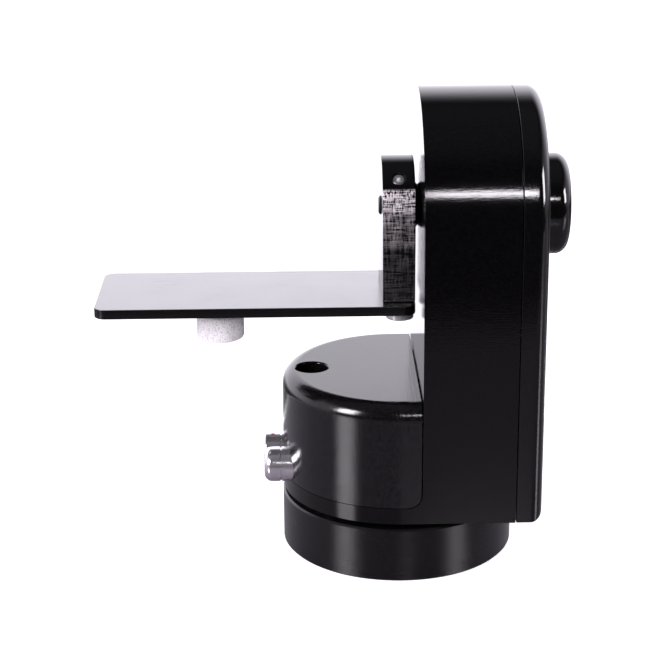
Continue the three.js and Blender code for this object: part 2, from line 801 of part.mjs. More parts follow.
// Flanged bushes that the tilt shaft turns in
function innerBush() {
  const face = towerFace - fit;
  const start = armRight + fit;
  const outline = [
    [bushBore, start],
    [bushFlangeRadius, start],
    [bushFlangeRadius, face - bushFlangeChamfer],
    [bushFlangeRadius - bushFlangeChamfer, face],
    [innerBushRadius, face],
    [innerBushRadius, collarStart - play],
    [bushBore, collarStart - play],
    [bushBore, start],
  ];
  return revolvedAlongX(outline, middleFacets).translate([0, 0, tiltHeight]);
}

function outerBush() {
  const bore = clutchTubeRadius + play;
  const outline = [
    [bore, towerSeam + overrun],
    [outerBushRadius, towerSeam + overrun],
    [outerBushRadius, towerEnd + fit],
    [outerBushRadius + bushWall, towerEnd + fit],
    [outerBushRadius + bushWall, towerEnd + outerBushFlange],
    [bore, towerEnd + outerBushFlange],
    [bore, towerSeam + overrun],
  ];
  return revolvedAlongX(outline, middleFacets).translate([0, 0, tiltHeight]);
}

// Gear motor along Z with its front face at height zero and a bore for its shaft
function motor() {
  const collar = motorRadius / 2;
  const collarHeight = bracketThickness / 2;
  const outline = [
    [0, -motorLength],
    [motorRadius - turnedChamfer, -motorLength],
    [motorRadius, turnedChamfer - motorLength],
    [motorRadius, 0],
    [collar, 0],
    [collar, collarHeight],
    [0, collarHeight],
  ];
  const bore = disc(motorShaftRadius + play, -motorLength / 3, collarHeight + overrun);
  return cut(revolved(outline, middleFacets), revolved(bore, smallFacets));
}

function motorShaft() {
  const outline = disc(motorShaftRadius, -motorFace - motorLength / 3 + play, bushFar);
  return revolved(outline, smallFacets);
}

function wormBush() {
  const outer = motorShaftRadius + play + bushWall;
  return revolved(ring(motorShaftRadius + play, outer, bushNear, bushFar), smallFacets);
}

// Bracket that the tilt motor hangs from and the one that holds the worm's upper end
function tiltMotorBracket() {
  const top = tiltHeight - bracketNear;
  const wall = towerFace + frameWall + fit;
  const end = tiltWheelMiddle + motorRadius;
  const inner = driveOffset - motorRadius / 2 - bracketThickness;
  const outer = cavityHalf - play;
  const shelf = box(wall, end, inner, outer, top - bracketThickness, top);
  const leg = box(wall, wall + bracketThickness, inner, outer, top - 4 * bracketThickness, top);
  const low = top - 2 * bracketThickness;
  const hole = rodZ(motorRadius / 2 + fit, tiltWheelMiddle, driveOffset, low, top + overrun, middleFacets);
  const can = rodZ(
    motorRadius + fit,
    tiltWheelMiddle,
    driveOffset,
    top - 5 * bracketThickness,
    top - bracketThickness,
    middleFacets,
  );
  return cut(joined(shelf, cut(leg, can)), hole);
}

function tiltWormBracket() {
  const low = tiltHeight + bushNear + fit;
  const high = tiltHeight + bushFar - fit;
  const wall = towerFace + frameWall + fit;
  const bush = motorShaftRadius + play + bushWall;
  const half = Math.sqrt(cavityHalf ** 2 - bushFar ** 2) - play - driveOffset;
  const end = tiltWheelMiddle + bush + bracketThickness;
  const block = box(wall, end, driveOffset - half, driveOffset + half, low, high);
  const hole = rodZ(bush + fit, tiltWheelMiddle, driveOffset, low - overrun, high + overrun);
  return cut(block, hole);
}

// Brackets of the pan drive, which stand on the foot and leave room for the bearing's seat
function bearingSeatRoom() {
  const top = bearingTop + retainerThickness + play;
  return revolved(disc(seatBossRadius + play, footTop, top), middleFacets);
}

function panMotorBracket() {
  const x0 = bracketNear;
  const x1 = bracketNear + bracketThickness;
  const top = panWheelMiddle + motorRadius;
  const inner = driveOffset - motorRadius / 2 - bracketThickness;
  const outer = cavityHalf - portalMargin - play;
  const web = box(x0, x1, inner, outer, footTop + fit, top);
  const bore = motorRadius / 2 + fit;
  const hole = rodX(bore, driveOffset, panWheelMiddle, x0 - overrun, x1 + overrun, middleFacets);
  return cut(web, hole, bearingSeatRoom());
}

function panWormBracket() {
  const x0 = -bushFar + fit;
  const x1 = -bushNear - fit;
  const bush = motorShaftRadius + play + bushWall;
  const half = Math.sqrt((headRadius - coverWall) ** 2 - bushFar ** 2) - play - driveOffset;
  const web = box(x0, x1, driveOffset - half, driveOffset + half, footTop + fit, panWheelMiddle + half);
  const hole = rodX(bush + fit, driveOffset, panWheelMiddle, x0 - overrun, x1 + overrun);
  return cut(web, hole, bearingSeatRoom());
}

// Circuit board on four posts of the frame, behind the tower's face
const boardLeft = towerFace + frameWall + boardStandoff + fit;
const boardY0 = -cavityHalf + boardMargin;
const boardTop = tiltHeight - wheelPitchRadius - boardWheelGap;
const boardBottom = portalTop + boardPortalGap;
const boardCorners = [
  [boardY0 + boardMargin, boardTop - boardMargin],
  [boardY0 + boardWidth - boardMargin, boardTop - boardMargin],
  [boardY0 + boardMargin, boardBottom + boardMargin],
  [boardY0 + boardWidth - boardMargin, boardBottom + boardMargin],
];

function driverBoard() {
  const right = boardLeft + boardThickness;
  return box(boardLeft, right, boardY0, boardY0 + boardWidth, boardBottom, boardTop);
}

function driverChip() {
  const left = boardLeft + boardThickness + fit;
  const y = boardY0 + boardWidth / 2;
  const z = (boardTop + boardBottom) / 2;
  const half = (chipSizeShare * (boardTop - boardBottom)) / 2;
  return box(left, left + chipThickness, y - half, y + half, z - half, z + half);
}

// Round sockets: a shell, its nut inside the cover and an insulating insert
function socketShell(rounded) {
  const end = socketFace - socketLength;
  const rounding = rounded ? socketRounding : turnedChamfer;
  const rim = [];
  const steps = 3;
  for (let i = 0; i <= steps; i += 1) {
    const angle = (i / steps) * (Math.PI / 2);
    rim.push([
      socketRadius - rounding + rounding * Math.sin(angle),
      end + rounding - rounding * Math.cos(angle),
    ]);
  }
  const recess = socketRadius - socketRim - rounding / 2;
  const outline = [
    [recess, end],
    ...rim,
    [socketRadius, socketFace],
    [socketNeckRadius, socketFace],
    [socketNeckRadius, socketNeckEnd],
    [socketNeckRadius - socketNeckWall, socketNeckEnd],
    [socketNeckRadius - socketNeckWall, end + socketDepth],
    [recess, end + socketDepth],
    [recess, end],
  ];
  return revolvedAlongX(outline, middleFacets).translate([0, 0, socketHeight]);
}

function socketNuts() {
  const outline = ring(socketNeckRadius + fit, socketNutRadius, socketPadFace + fit, socketNeckEnd);
  const nut = revolvedAlongX(outline, middleFacets);
  return [frontSocketY, rearSocketY].map((y) => nut.translate([0, y, socketHeight]));
}

// Insulating inserts with the holes of their contacts
function socketInserts() {
  const front = socketFace - socketLength + socketDepth + fit;
  const radius = socketNeckRadius - socketNeckWall - fit;
  const contacts = around(contactCount, contactCircle / 2).map(([y, z]) =>
    rodX(contactRadius, y, z, front - overrun, front + contactDepth, 6),
  );
  const insert = cut(revolvedAlongX(disc(radius, front, socketNeckEnd), middleFacets), ...contacts);
  return [frontSocketY, rearSocketY].map((y) => insert.translate([0, y, socketHeight]));
}

// Tilt arm: a thick bar with a round end about the tilt axis, clamped on the shaft by a set screw
function tiltArm() {
  const shape = new THREE.Shape();
  shape.moveTo(-armHalfWidth, plateTop + fit);
  shape.lineTo(armHalfWidth, plateTop + fit);
  shape.lineTo(armHalfWidth, tiltHeight);
  shape.absarc(0, tiltHeight, armHalfWidth, 0, Math.PI, false);
  shape.lineTo(-armHalfWidth, plateTop + fit);
  const bar = extruded(shape, armThickness, middleFacets / 2);
  const body = solid(bar.translate(0, 0, armLeft).applyMatrix4(lyingAlongX));
  const bore = rodX(shaftRadius + fit, 0, tiltHeight, armLeft - overrun, armRight + overrun, middleFacets);
  const clampHole = revolved(disc(setScrewRadius + fit, 0, armHalfWidth + overrun), smallFacets);
  const threads = plateScrewPlaces.map(([x, y]) =>
    rodZ(plateScrewRadius + fit, x, y, plateTop - overrun, plateBottom + plateScrewLength, middleFacets),
  );
  return cut(body, bore, setScrewPlaced(clampHole), ...threads);
}

// Moves what points up from the tilt axis to the middle of the arm, tipped towards the front
function setScrewPlaced(shape) {
  const degrees = 90 - (setScrewAngle * 180) / Math.PI;
  return shape.rotate([degrees, 0, 0]).translate([(armLeft + armRight) / 2, 0, tiltHeight]);
}

function setScrew() {
  const start = shaftRadius + play;
  const end = armHalfWidth - setScrewSink;
  const body = revolved(disc(setScrewRadius, start, end), smallFacets);
  const socket = revolved(disc(setScrewRadius / 2, end - setScrewRadius, end + overrun), 6);
  return setScrewPlaced(cut(body, socket));
}

const plateScrewPlaces = [-1, 1].map((side) => [
  (armLeft + armRight) / 2 + plateScrewShift,
  (side * plateScrewSpacing) / 2,
]);

function cameraPlate() {
  const [x0, x1] = [-plateReach, armRight];
  const half = plateHalfWidth;
  const corner = plateCornerRadius;
  const shape = new THREE.Shape();
  shape.moveTo(x0 + corner, -half);
  shape.lineTo(x1 - corner, -half);
  shape.absarc(x1 - corner, corner - half, corner, -Math.PI / 2, 0, false);
  shape.lineTo(x1, half - corner);
  shape.absarc(x1 - corner, half - corner, corner, 0, Math.PI / 2, false);
  shape.lineTo(x0 + corner, half);
  shape.absarc(x0 + corner, half - corner, corner, Math.PI / 2, Math.PI, false);
  shape.lineTo(x0, corner - half);
  shape.absarc(x0 + corner, corner - half, corner, Math.PI, (3 * Math.PI) / 2, false);
  const slab = solid(extruded(shape, plateThickness, 5).translate(0, 0, plateBottom));
  const low = plateBottom - overrun;
  const high = plateTop + overrun;
  const cameraHole = rodZ(cameraScrewRadius + play, -cameraScrewReach, 0, low, high, middleFacets);
  const holes = plateScrewPlaces.map(([x, y]) => rodZ(plateScrewRadius + fit, x, y, low, high, middleFacets));
  return cut(slab, cameraHole, ...holes);
}

function plateScrews() {
  const screw = capScrew(
    plateScrewHeadRadius,
    plateScrewHeadHeight,
    plateScrewRadius,
    plateScrewLength,
    middleFacets,
  );
  return plateScrewPlaces.map(([x, y]) => screw.translate([x, y, plateBottom - fit]));
}

function tiltShaft() {
  const left = armLeft - shaftStandOut;
  const right = knobStart + knobThreadDepth;
  const outline = [
    [0, left],
    [shaftRadius - shaftChamfer, left],
    [shaftRadius, left + shaftChamfer],
    [shaftRadius, right],
    [0, right],
  ];
  return revolvedAlongX(outline, middleFacets).translate([0, 0, tiltHeight]);
}

function tiltRing(inner, outer, x0, x1) {
  return revolvedAlongX(ring(inner, outer, x0, x1), middleFacets).translate([0, 0, tiltHeight]);
}

function tiltKnob() {
  const edge = knobEdgeRadius;
  const steps = 3;
  const rounded = [];
  for (let i = 0; i <= steps; i += 1) {
    const angle = (i / steps) * (Math.PI / 2);
    rounded.push([knobRadius - edge + edge * Math.cos(angle), knobEnd - edge + edge * Math.sin(angle)]);
  }
  const outline = [
    [0, knobStart + knobThreadDepth + overrun],
    [shaftRadius + fit, knobStart + knobThreadDepth + overrun],
    [shaftRadius + fit, knobStart],
    [clutchTubeRadius, knobStart],
    [clutchTubeRadius, knobStart + knobRecessDepth],
    [knobRecessRadius, knobStart + knobRecessDepth],
    [knobRecessRadius, knobStart],
    [knobRadius - turnedChamfer, knobStart],
    [knobRadius, knobStart + turnedChamfer],
    ...rounded,
    [0, knobEnd],
  ];
  return revolvedAlongX(outline, largeFacets / 2).translate([0, 0, tiltHeight]);
}

// Camera screw with a knurled head
function cameraScrew() {
  const tip = plateTop - fit;
  const headTop = plateBottom - cameraScrewDrop;
  const headBottom = headTop - cameraHeadHeight;
  const shape = new THREE.Shape();
  for (let i = 0; i < 2 * knurlCount; i += 1) {
    const radius = i % 2 ? cameraHeadRadius - knurlDepth : cameraHeadRadius;
    const angle = (Math.PI * i) / knurlCount;
    const [x, y] = [radius * Math.cos(angle), radius * Math.sin(angle)];
    if (i === 0) shape.moveTo(x, y);
    else shape.lineTo(x, y);
  }
  const ridged = solid(extruded(shape, cameraHeadHeight, 1).translate(0, 0, headBottom));
  const limit = revolved(
    [
      [0, headBottom],
      [cameraHeadRadius - cameraHeadChamfer, headBottom],
      [cameraHeadRadius, headBottom + cameraHeadChamfer],
      [cameraHeadRadius, headTop - cameraHeadChamfer / 2],
      [cameraHeadRadius - cameraHeadChamfer / 2, headTop],
      [0, headTop],
    ],
    2 * knurlCount,
  );
  const shank = revolved(disc(cameraScrewRadius, headTop - overrun, tip), smallFacets);
  return joined(ridged.intersect(limit), shank).translate([-cameraScrewReach, 0, 0]);
}

function captiveWasher() {
  const low = plateBottom - cameraScrewDrop + fit;
  const inner = cameraScrewRadius + fit;
  const outline = ring(inner, captiveWasherRadius, low, low + captiveWasherThickness);
  return revolved(outline, middleFacets).translate([-cameraScrewReach, 0, 0]);
}

// The assembly, one group for each body that moves on its own
const baseGroup = new THREE.Group();
baseGroup.add(
  piece("base", base(), anodised),
  piece("tripod_insert", tripodInsert(), steel),
  piece("pan_hub", panHub(), steel),
  ...pieces("hub_screw", hubScrews(), steel),
  piece(
    "pan_bearing_inner_ring",
    bearingRing(bearingBoreRadius + fit, bearingBoreRadius + bearingRingWall, 1),
    chrome,
  ),
  piece(
    "pan_wheel_spacer",
    revolved(
      ring(hubNeckRadius + fit, bearingBoreRadius + bearingRingWall, bearingTop + fit, panWheelBottom - fit),
      middleFacets,
    ),
    steel,
  ),
  piece(
    "pan_worm_wheel",
    wormWheel(hubNeckRadius + fit, Math.PI / 2).translate([0, 0, panWheelMiddle]),
    bronze,
  ),
  piece("hub_nut", hubNut(), steel),
);

const panHead = new THREE.Group();
const bearingRetainer = revolved(
  ring(
    (ballCircle + bearingOuterRadius) / 2,
    seatBossRadius,
    bearingTop + fit,
    bearingTop + fit + retainerThickness,
  ),
  middleFacets,
);
panHead.add(
  piece("l_frame", lFrame(), anodised),
  piece("pan_cover", panCover(), anodised),
  ...pieces("pan_cover_screw", panCoverScrews(), steel),
  piece("tower_cover", towerCover(), anodised),
  ...pieces("tower_cover_screw", towerCoverScrews(), steel),
  piece(
    "pan_bearing_outer_ring",
    bearingRing(bearingOuterRadius, bearingOuterRadius - bearingRingWall, -1),
    chrome,
  ),
  piece("pan_bearing_balls", bearingBalls(), chrome),
  piece("bearing_retainer", bearingRetainer, steel),
  piece("inner_bush", innerBush(), blackPolymer),
  piece("outer_bush", outerBush(), blackPolymer),
  piece("driver_board", driverBoard(), boardGreen),
  piece("driver_chip", driverChip(), chipBlack),
  piece("rear_socket", socketShell(false).translate([0, rearSocketY, 0]), chrome),
  piece("front_socket", socketShell(true).translate([0, frontSocketY, 0]), chrome),
  ...pieces("socket_nut", socketNuts(), steel),
  ...pieces("socket_insert", socketInserts(), blackPolymer),
);

// Tilt drive, upright: the motor hangs under its bracket, with the worm beside the tilt wheel
const tiltDrivePlace = [tiltWheelMiddle, driveOffset, tiltHeight];
const tiltDrive = new THREE.Group();
panHead.add(
  piece("tilt_motor", motor().translate([0, 0, -motorFace]).translate(tiltDrivePlace), motorCan),
  piece("tilt_motor_bracket", tiltMotorBracket(), steel),
  piece("tilt_worm_bracket", tiltWormBracket(), steel),
  piece("tilt_worm_bush", wormBush().translate(tiltDrivePlace), bronze),
);
tiltDrive.add(
  piece("tilt_motor_shaft", motorShaft().translate(tiltDrivePlace), steel),
  piece("tilt_worm", worm(-Math.PI / 2).translate(tiltDrivePlace), steel),
);

// Pan drive, lying along X: the motor is in the tower and the worm under the round cover
const panDrivePlace = [0, driveOffset, panWheelMiddle];
const panDrive = new THREE.Group();
function lying(shape) {
  return shape.rotate([0, -90, 0]).translate(panDrivePlace);
}
panHead.add(
  piece("pan_motor", lying(motor().translate([0, 0, -motorFace])), motorCan),
  piece("pan_motor_bracket", panMotorBracket(), steel),
  piece("pan_worm_bracket", panWormBracket(), steel),
  piece("pan_worm_bush", lying(wormBush()), bronze),
);
panDrive.add(
  piece("pan_motor_shaft", lying(motorShaft()), steel),
  piece("pan_worm", lying(worm(-Math.PI / 2)), steel),
);

const tiltGroup = new THREE.Group();
const washerStart = collarStart + collarWidth + fit;
const outerWasherStart = tiltWheelStart + wheelWidth + fit;
const clutchTubeStart = outerWasherStart + frictionWasherThickness + fit;
const tiltWheel = wormWheel(shaftRadius + fit, Math.PI / 2).rotate([0, 90, 0]);
tiltGroup.add(
  piece("tilt_shaft", tiltShaft(), steel),
  piece("tilt_arm", tiltArm(), anodised),
  piece("arm_set_screw", setScrew(), steel),
  piece("camera_plate", cameraPlate(), anodised),
  ...pieces("plate_screw", plateScrews(), steel),
  piece(
    "shaft_collar",
    tiltRing(shaftRadius + fit, collarRadius, collarStart, collarStart + collarWidth),
    steel,
  ),
  piece(
    "friction_washer_inner",
    tiltRing(shaftRadius + fit, collarRadius, washerStart, washerStart + frictionWasherThickness),
    frictionPad,
  ),
  piece("tilt_worm_wheel", tiltWheel.translate([tiltWheelMiddle, 0, tiltHeight]), bronze),
  piece(
    "friction_washer_outer",
    tiltRing(shaftRadius + fit, collarRadius, outerWasherStart, outerWasherStart + frictionWasherThickness),
    frictionPad,
  ),
  piece(
    "clutch_tube",
    tiltRing(shaftRadius + fit, clutchTubeRadius, clutchTubeStart, knobStart - fit),
    steel,
  ),
);

const knobGroup = new THREE.Group();
knobGroup.add(piece("tilt_knob", tiltKnob(), anodised));

const cameraGroup = new THREE.Group();
cameraGroup.add(
  piece("camera_screw", cameraScrew(), chrome),
  piece("captive_washer", captiveWasher(), blackPolymer),
);

// The part's origin is under the middle of its reach, on the surface that the base stands on
const head = new THREE.Group();
head.add(baseGroup, panHead, tiltDrive, panDrive, tiltGroup, knobGroup, cameraGroup);
head.position.x = panAxisShift;

export default head;
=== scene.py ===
import json
import math

import bmesh
import bpy
from mathutils import Matrix, Vector


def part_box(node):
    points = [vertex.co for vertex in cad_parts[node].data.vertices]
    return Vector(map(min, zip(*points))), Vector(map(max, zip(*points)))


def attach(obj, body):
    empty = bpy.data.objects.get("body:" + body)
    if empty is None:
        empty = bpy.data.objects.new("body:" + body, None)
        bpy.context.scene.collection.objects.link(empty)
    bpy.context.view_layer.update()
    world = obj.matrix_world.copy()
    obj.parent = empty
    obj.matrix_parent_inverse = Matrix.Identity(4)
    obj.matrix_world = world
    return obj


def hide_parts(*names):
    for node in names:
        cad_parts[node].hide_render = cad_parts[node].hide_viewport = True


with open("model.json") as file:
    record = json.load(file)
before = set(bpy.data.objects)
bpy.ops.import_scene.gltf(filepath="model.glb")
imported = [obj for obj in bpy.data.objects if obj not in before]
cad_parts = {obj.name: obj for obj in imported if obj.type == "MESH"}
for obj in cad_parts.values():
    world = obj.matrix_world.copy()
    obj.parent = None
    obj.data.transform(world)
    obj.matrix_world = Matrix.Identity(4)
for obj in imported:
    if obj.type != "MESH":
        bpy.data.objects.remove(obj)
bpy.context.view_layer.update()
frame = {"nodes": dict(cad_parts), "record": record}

# BASE
# A disc turned from black anodised aluminium that stays still on the tripod. Its side keeps the fine rings
# of the lathe, and both rims are broken by a small chamfer.


def arc(a, b, radius, start, end, steps):
    """Points [a, b] of an arc, with its angles in degrees."""
    turn = [math.radians(start + (end - start) * i / steps) for i in range(steps + 1)]
    return [(a + radius * math.cos(t), b + radius * math.sin(t)) for t in turn]


def make_piece(name, corners, faces):
    mesh = bpy.data.meshes.new(name)
    mesh.from_pydata([tuple(c) for c in corners], [], faces)
    work = bmesh.new()
    work.from_mesh(mesh)
    bmesh.ops.remove_doubles(work, verts=work.verts, dist=1e-7)
    bmesh.ops.recalc_face_normals(work, faces=work.faces)
    work.to_mesh(mesh)
    work.free()
    piece = bpy.data.objects.new(name, mesh)
    bpy.context.scene.collection.objects.link(piece)
    return piece


def turned(name, profile, centre, axis="Z", steps=192):
    """A closed profile of (radius, height) points turned about Z or X through the centre."""
    corners, rings = [], []
    for radius, height in profile:
        ring = []
        count = 1 if radius < 1e-9 else steps
        for k in range(count):
            t = 2 * math.pi * k / steps
            a, b = radius * math.cos(t), radius * math.sin(t)
            offset = (a, b, height) if axis == "Z" else (height, a, b)
            ring.append(len(corners))
            corners.append(Vector(centre) + Vector(offset))
        rings.append(ring)
    faces = []
    for low, high in zip(rings, rings[1:] + rings[:1]):
        if len(low) == 1 and len(high) == 1:
            continue
        for k in range(steps):
            n = (k + 1) % steps
            loop = [low[k % len(low)], low[n % len(low)], high[n % len(high)], high[k % len(high)]]
            faces.append([c for i, c in enumerate(loop) if c not in loop[:i]])
    return make_piece(name, corners, faces)


def apply_changes(piece):
    shape = bpy.data.meshes.new_from_object(piece.evaluated_get(bpy.context.evaluated_depsgraph_get()))
    piece.modifiers.clear()
    old, piece.data = piece.data, shape
    shape.name = piece.name
    shape.materials.clear()
    for face in shape.polygons:
        face.material_index = 0
    bpy.data.meshes.remove(old)
    return piece


def combine(piece, operation, tools):
    for tool in tools:
        change = piece.modifiers.new("combine", "BOOLEAN")
        change.operation = operation
        change.object = tool
        change.solver = "MANIFOLD"
    apply_changes(piece)
    for tool in tools:
        bpy.data.objects.remove(tool)
    return piece


def cut(piece, *tools):
    return combine(piece, "DIFFERENCE", tools)


def smooth(piece, angle=32):
    """Smooth shading over curves, with flat faces kept flat and edges sharper than the angle kept."""
    piece.data.shade_smooth()
    piece.data.set_sharp_from_angle(angle=math.radians(angle))
    change = piece.modifiers.new("normals", "WEIGHTED_NORMAL")
    change.keep_sharp = True
    return apply_changes(piece)


def new_material(name):
    made = bpy.data.materials.new(name)
    made.use_nodes = True
    shader = made.node_tree.nodes["Principled BSDF"]
    return made, made.node_tree.nodes, made.node_tree.links, shader


def feed(links, slot, term):
    """Link an output to a node's slot, or set the slot's own value."""
    if isinstance(term, bpy.types.NodeSocket):
        links.new(term, slot)
    else:
        slot.default_value = term


def math_node(nodes, links, operation, *terms, clamp=False):
    made = nodes.new("ShaderNodeMath")
    made.operation = operation
    made.use_clamp = clamp
    for slot, term in zip(made.inputs, terms):
        feed(links, slot, term)
    return made.outputs[0]


def stretched(nodes, links, where, factors):
    """Coordinates multiplied by a factor for each axis."""
    made = nodes.new("ShaderNodeVectorMath")
    made.operation = "MULTIPLY"
    links.new(where, made.inputs[0])
    feed(links, made.inputs[1], factors)
    return made.outputs[0]


def noise_node(nodes, links, where, scale, detail, roughness=0.5):
    made = nodes.new("ShaderNodeTexNoise")
    for name, value in (("Scale", scale), ("Detail", detail), ("Roughness", roughness)):
        made.inputs[name].default_value = value
    links.new(where, made.inputs["Vector"])
    return made.outputs["Fac"]


def map_range(nodes, links, value, low, high, to_low=0, to_high=1, kind="LINEAR"):
    made = nodes.new("ShaderNodeMapRange")
    made.interpolation_type = kind
    for name, number in (("From Min", low), ("From Max", high), ("To Min", to_low), ("To Max", to_high)):
        made.inputs[name].default_value = number
    links.new(value, made.inputs["Value"])
    return made.outputs["Result"]


# The span that most of a noise texture's values lie in.
noise_low, noise_high = 0.35, 0.65


def spread(nodes, links, value, low, high):
    """A noise value spread over a range."""
    return map_range(nodes, links, value, noise_low, noise_high, low, high)


def ramp(nodes, links, value, dark, light, low=noise_low, high=noise_high):
    made = nodes.new("ShaderNodeValToRGB")
    for stop, place, tone in zip(made.color_ramp.elements, (low, high), (dark, light)):
        stop.position = place
        stop.color = (*tone, 1)
    links.new(value, made.inputs["Fac"])
    return made.outputs["Color"]


def relief(nodes, links, height, strength, distance, under=None):
    """A bumped normal, laid over another one when that is given."""
    made = nodes.new("ShaderNodeBump")
    made.inputs["Strength"].default_value = strength
    made.inputs["Distance"].default_value = distance
    links.new(height, made.inputs["Height"])
    if under:
        links.new(under, made.inputs["Normal"])
    return made.outputs["Normal"]


def machined_group():
    """Machined metal from stretched noise: a cloudy shade, the height of cutter marks, and a satin grain."""
    group = bpy.data.node_groups.new("machined_surface", "ShaderNodeTree")
    place = group.interface.new_socket("Marks", in_out="INPUT", socket_type="NodeSocketVector")
    place.default_value = (1, 1, 1)
    for name in ("Shade", "Height", "Grain"):
        group.interface.new_socket(name, in_out="OUTPUT", socket_type="NodeSocketFloat")
    nodes, links = group.nodes, group.links
    start, end = nodes.new("NodeGroupInput"), nodes.new("NodeGroupOutput")
    where = nodes.new("ShaderNodeTexCoord").outputs["Object"]
    marks = noise_node(nodes, links, stretched(nodes, links, where, start.outputs["Marks"]), 1, 3, 0.6)
    grain = noise_node(nodes, links, where, 1500, 2)
    cloud = noise_node(nodes, links, where, 55, 4)
    cloud_share, grain_share = 0.6, 0.7
    marks_part = math_node(nodes, links, "MULTIPLY", marks, 1 - cloud_share)
    shade = math_node(nodes, links, "MULTIPLY_ADD", cloud, cloud_share, marks_part)
    height = math_node(nodes, links, "MULTIPLY_ADD", grain, grain_share, marks)
    for name, value in (("Shade", shade), ("Height", height), ("Grain", grain)):
        links.new(value, end.inputs[name])
    return group


machined = machined_group()


def surface_node(nodes, marks):
    """The machined surface's outputs, with the marks' fineness along each axis."""
    made = nodes.new("ShaderNodeGroup")
    made.node_tree = machined
    made.inputs["Marks"].default_value = marks
    return made.outputs


def finish(name, marks, tone, dark, light, rough, bump, distance=0.00004):
    """A material whose tone follows one output of the machined surface, and its gloss and relief others."""
    made, nodes, links, shader = new_material(name)
    surface = surface_node(nodes, marks)
    links.new(ramp(nodes, links, surface[tone], dark, light), shader.inputs["Base Color"])
    links.new(spread(nodes, links, surface["Shade"], *rough), shader.inputs["Roughness"])
    links.new(relief(nodes, links, surface["Height"], bump, distance), shader.inputs["Normal"])
    return made, nodes, links, shader


def anodised(name, marks, rough, bump, along=(0.02, 0.01, 1), stretch=0, index=1.5, speck=0.0016):
    """Black anodised aluminium with cutter marks; the gloss is stretched along a direction, across them."""
    dark, light = (0.0003, 0.0002, 0.0003), (speck, 0.9 * speck, 1.1 * speck)
    made, nodes, links, shader = finish(name, marks, "Grain", dark, light, rough, bump)
    shader.inputs["IOR"].default_value = index
    shader.inputs["Anisotropic"].default_value = stretch
    line = nodes.new("ShaderNodeCombineXYZ")
    for i in range(3):
        line.inputs[i].default_value = along[i]
    links.new(line.outputs[0], shader.inputs["Tangent"])
    return made


def middle(box):
    low, high = box
    return (low + high) / 2


base_low, base_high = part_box("base")
pan_x = (base_low.x + base_high.x) / 2
base_radius = (base_high.x - base_low.x) / 2
rim = 0.0006
tripod_bore, insert_seat, hub_recess = 0.0071, 0.0091, 0.0201
recess_floor, insert_floor = base_high.z - 0.006, base_high.z - 0.0089
base_profile = [
    (tripod_bore, 0),
    (base_radius - rim, 0),
    (base_radius, rim),
    (base_radius, base_high.z - rim),
    (base_radius - rim, base_high.z),
    (hub_recess, base_high.z),
    (hub_recess, recess_floor),
    (insert_seat, recess_floor),
    (insert_seat, insert_floor),
    (tripod_bore, insert_floor),
]
base = turned("base_disc", base_profile, (pan_x, 0, 0), steps=256)
base_screw_boxes = [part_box(f"hub_screw_{i}") for i in (1, 2, 3)]
base_screw_places = [middle(box).xy for box in base_screw_boxes]
past = 0.001  # how far a cutting tool reaches past a face
well, well_edge, well_floor, clearance_hole, hole_top = 0.0036, 0.0003, 0.0042, 0.0021, 0.014
counterbore = [(0, -past), (well + well_edge, -past), (well, well_edge), (well, well_floor)]
counterbore += [(clearance_hole, well_floor), (clearance_hole, hole_top), (0, hole_top)]
cut(base, *[turned("tool", counterbore, (x, y, 0), steps=48) for x, y in base_screw_places])
smooth(base)
base_look = anodised("base_black", (60, 60, 3400), (0.22, 0.28), 0.8, stretch=0.3, speck=0.004)
base.data.materials.append(base_look)
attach(base, "base")
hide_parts("base")

# TRIPOD THREAD
# A flanged insert turned from stainless steel and pressed into the base's web, with a 3/8 inch thread for the
# tripod's stud.


def steel(
    name,
    light=(0.6, 0.6, 0.61),
    dark=(0.5, 0.5, 0.51),
    rough=(0.22, 0.34),
    marks=(900, 900, 5200),
    bump=0.05,
    metal=1,
):
    """Turned stainless steel with fine rings; a pale satin finish looks less than fully metallic."""
    made, nodes, links, shader = finish(name, marks, "Shade", dark, light, rough, bump)
    shader.inputs["Metallic"].default_value = metal
    return made


stainless = steel("stainless_turned")
insert_low, insert_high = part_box("tripod_insert")
thread_pitch, thread_crest, thread_root = 0.0015875, 0.0041, 0.0048
thread_start, thread_ends = 0.0008, 0.001
turns = int((insert_high.z - insert_low.z - thread_ends) / thread_pitch)
root_shares = (0.45, 0.55)
thread_side = []
for i in range(turns):
    z = insert_low.z + thread_start + i * thread_pitch
    thread_side.append((thread_crest, z))
    thread_side += [(thread_root, z + thread_pitch * share) for share in root_shares]
sleeve_r, flange_r, flange_height = 0.007, 0.009, 0.0028
insert_profile = [(thread_root, insert_low.z), (sleeve_r, insert_low.z)]
insert_profile += [(sleeve_r, insert_high.z - flange_height), (flange_r, insert_high.z - flange_height)]
insert_profile += [(flange_r, insert_high.z), (thread_crest, insert_high.z)]
insert = turned("tripod_thread", insert_profile + thread_side[::-1], (pan_x, 0, 0), steps=96)
smooth(insert)
insert.data.materials.append(stainless)
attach(insert, "base")
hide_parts("tripod_insert")

# HUB SCREWS
# Three socket head cap screws of black oxide steel, sunk in the underside of the base, which hold the pan hub
# inside the head.


def loft(name, rings):
    """Rings of corners joined one to the next, with the first and the last filled."""
    count = len(rings[0])
    corners = [point for ring in rings for point in ring]
    faces = [list(range(count)), list(range(len(corners) - count, len(corners)))]
    for start in range(0, len(corners) - count, count):
        for k in range(count):
            n = (k + 1) % count
            faces.append([start + k, start + n, start + count + n, start + count + k])
    return make_piece(name, corners, faces)


def hexagon(radius):
    turn = [math.pi * k / 3 for k in range(6)]
    return [(radius * math.cos(t), radius * math.sin(t)) for t in turn]


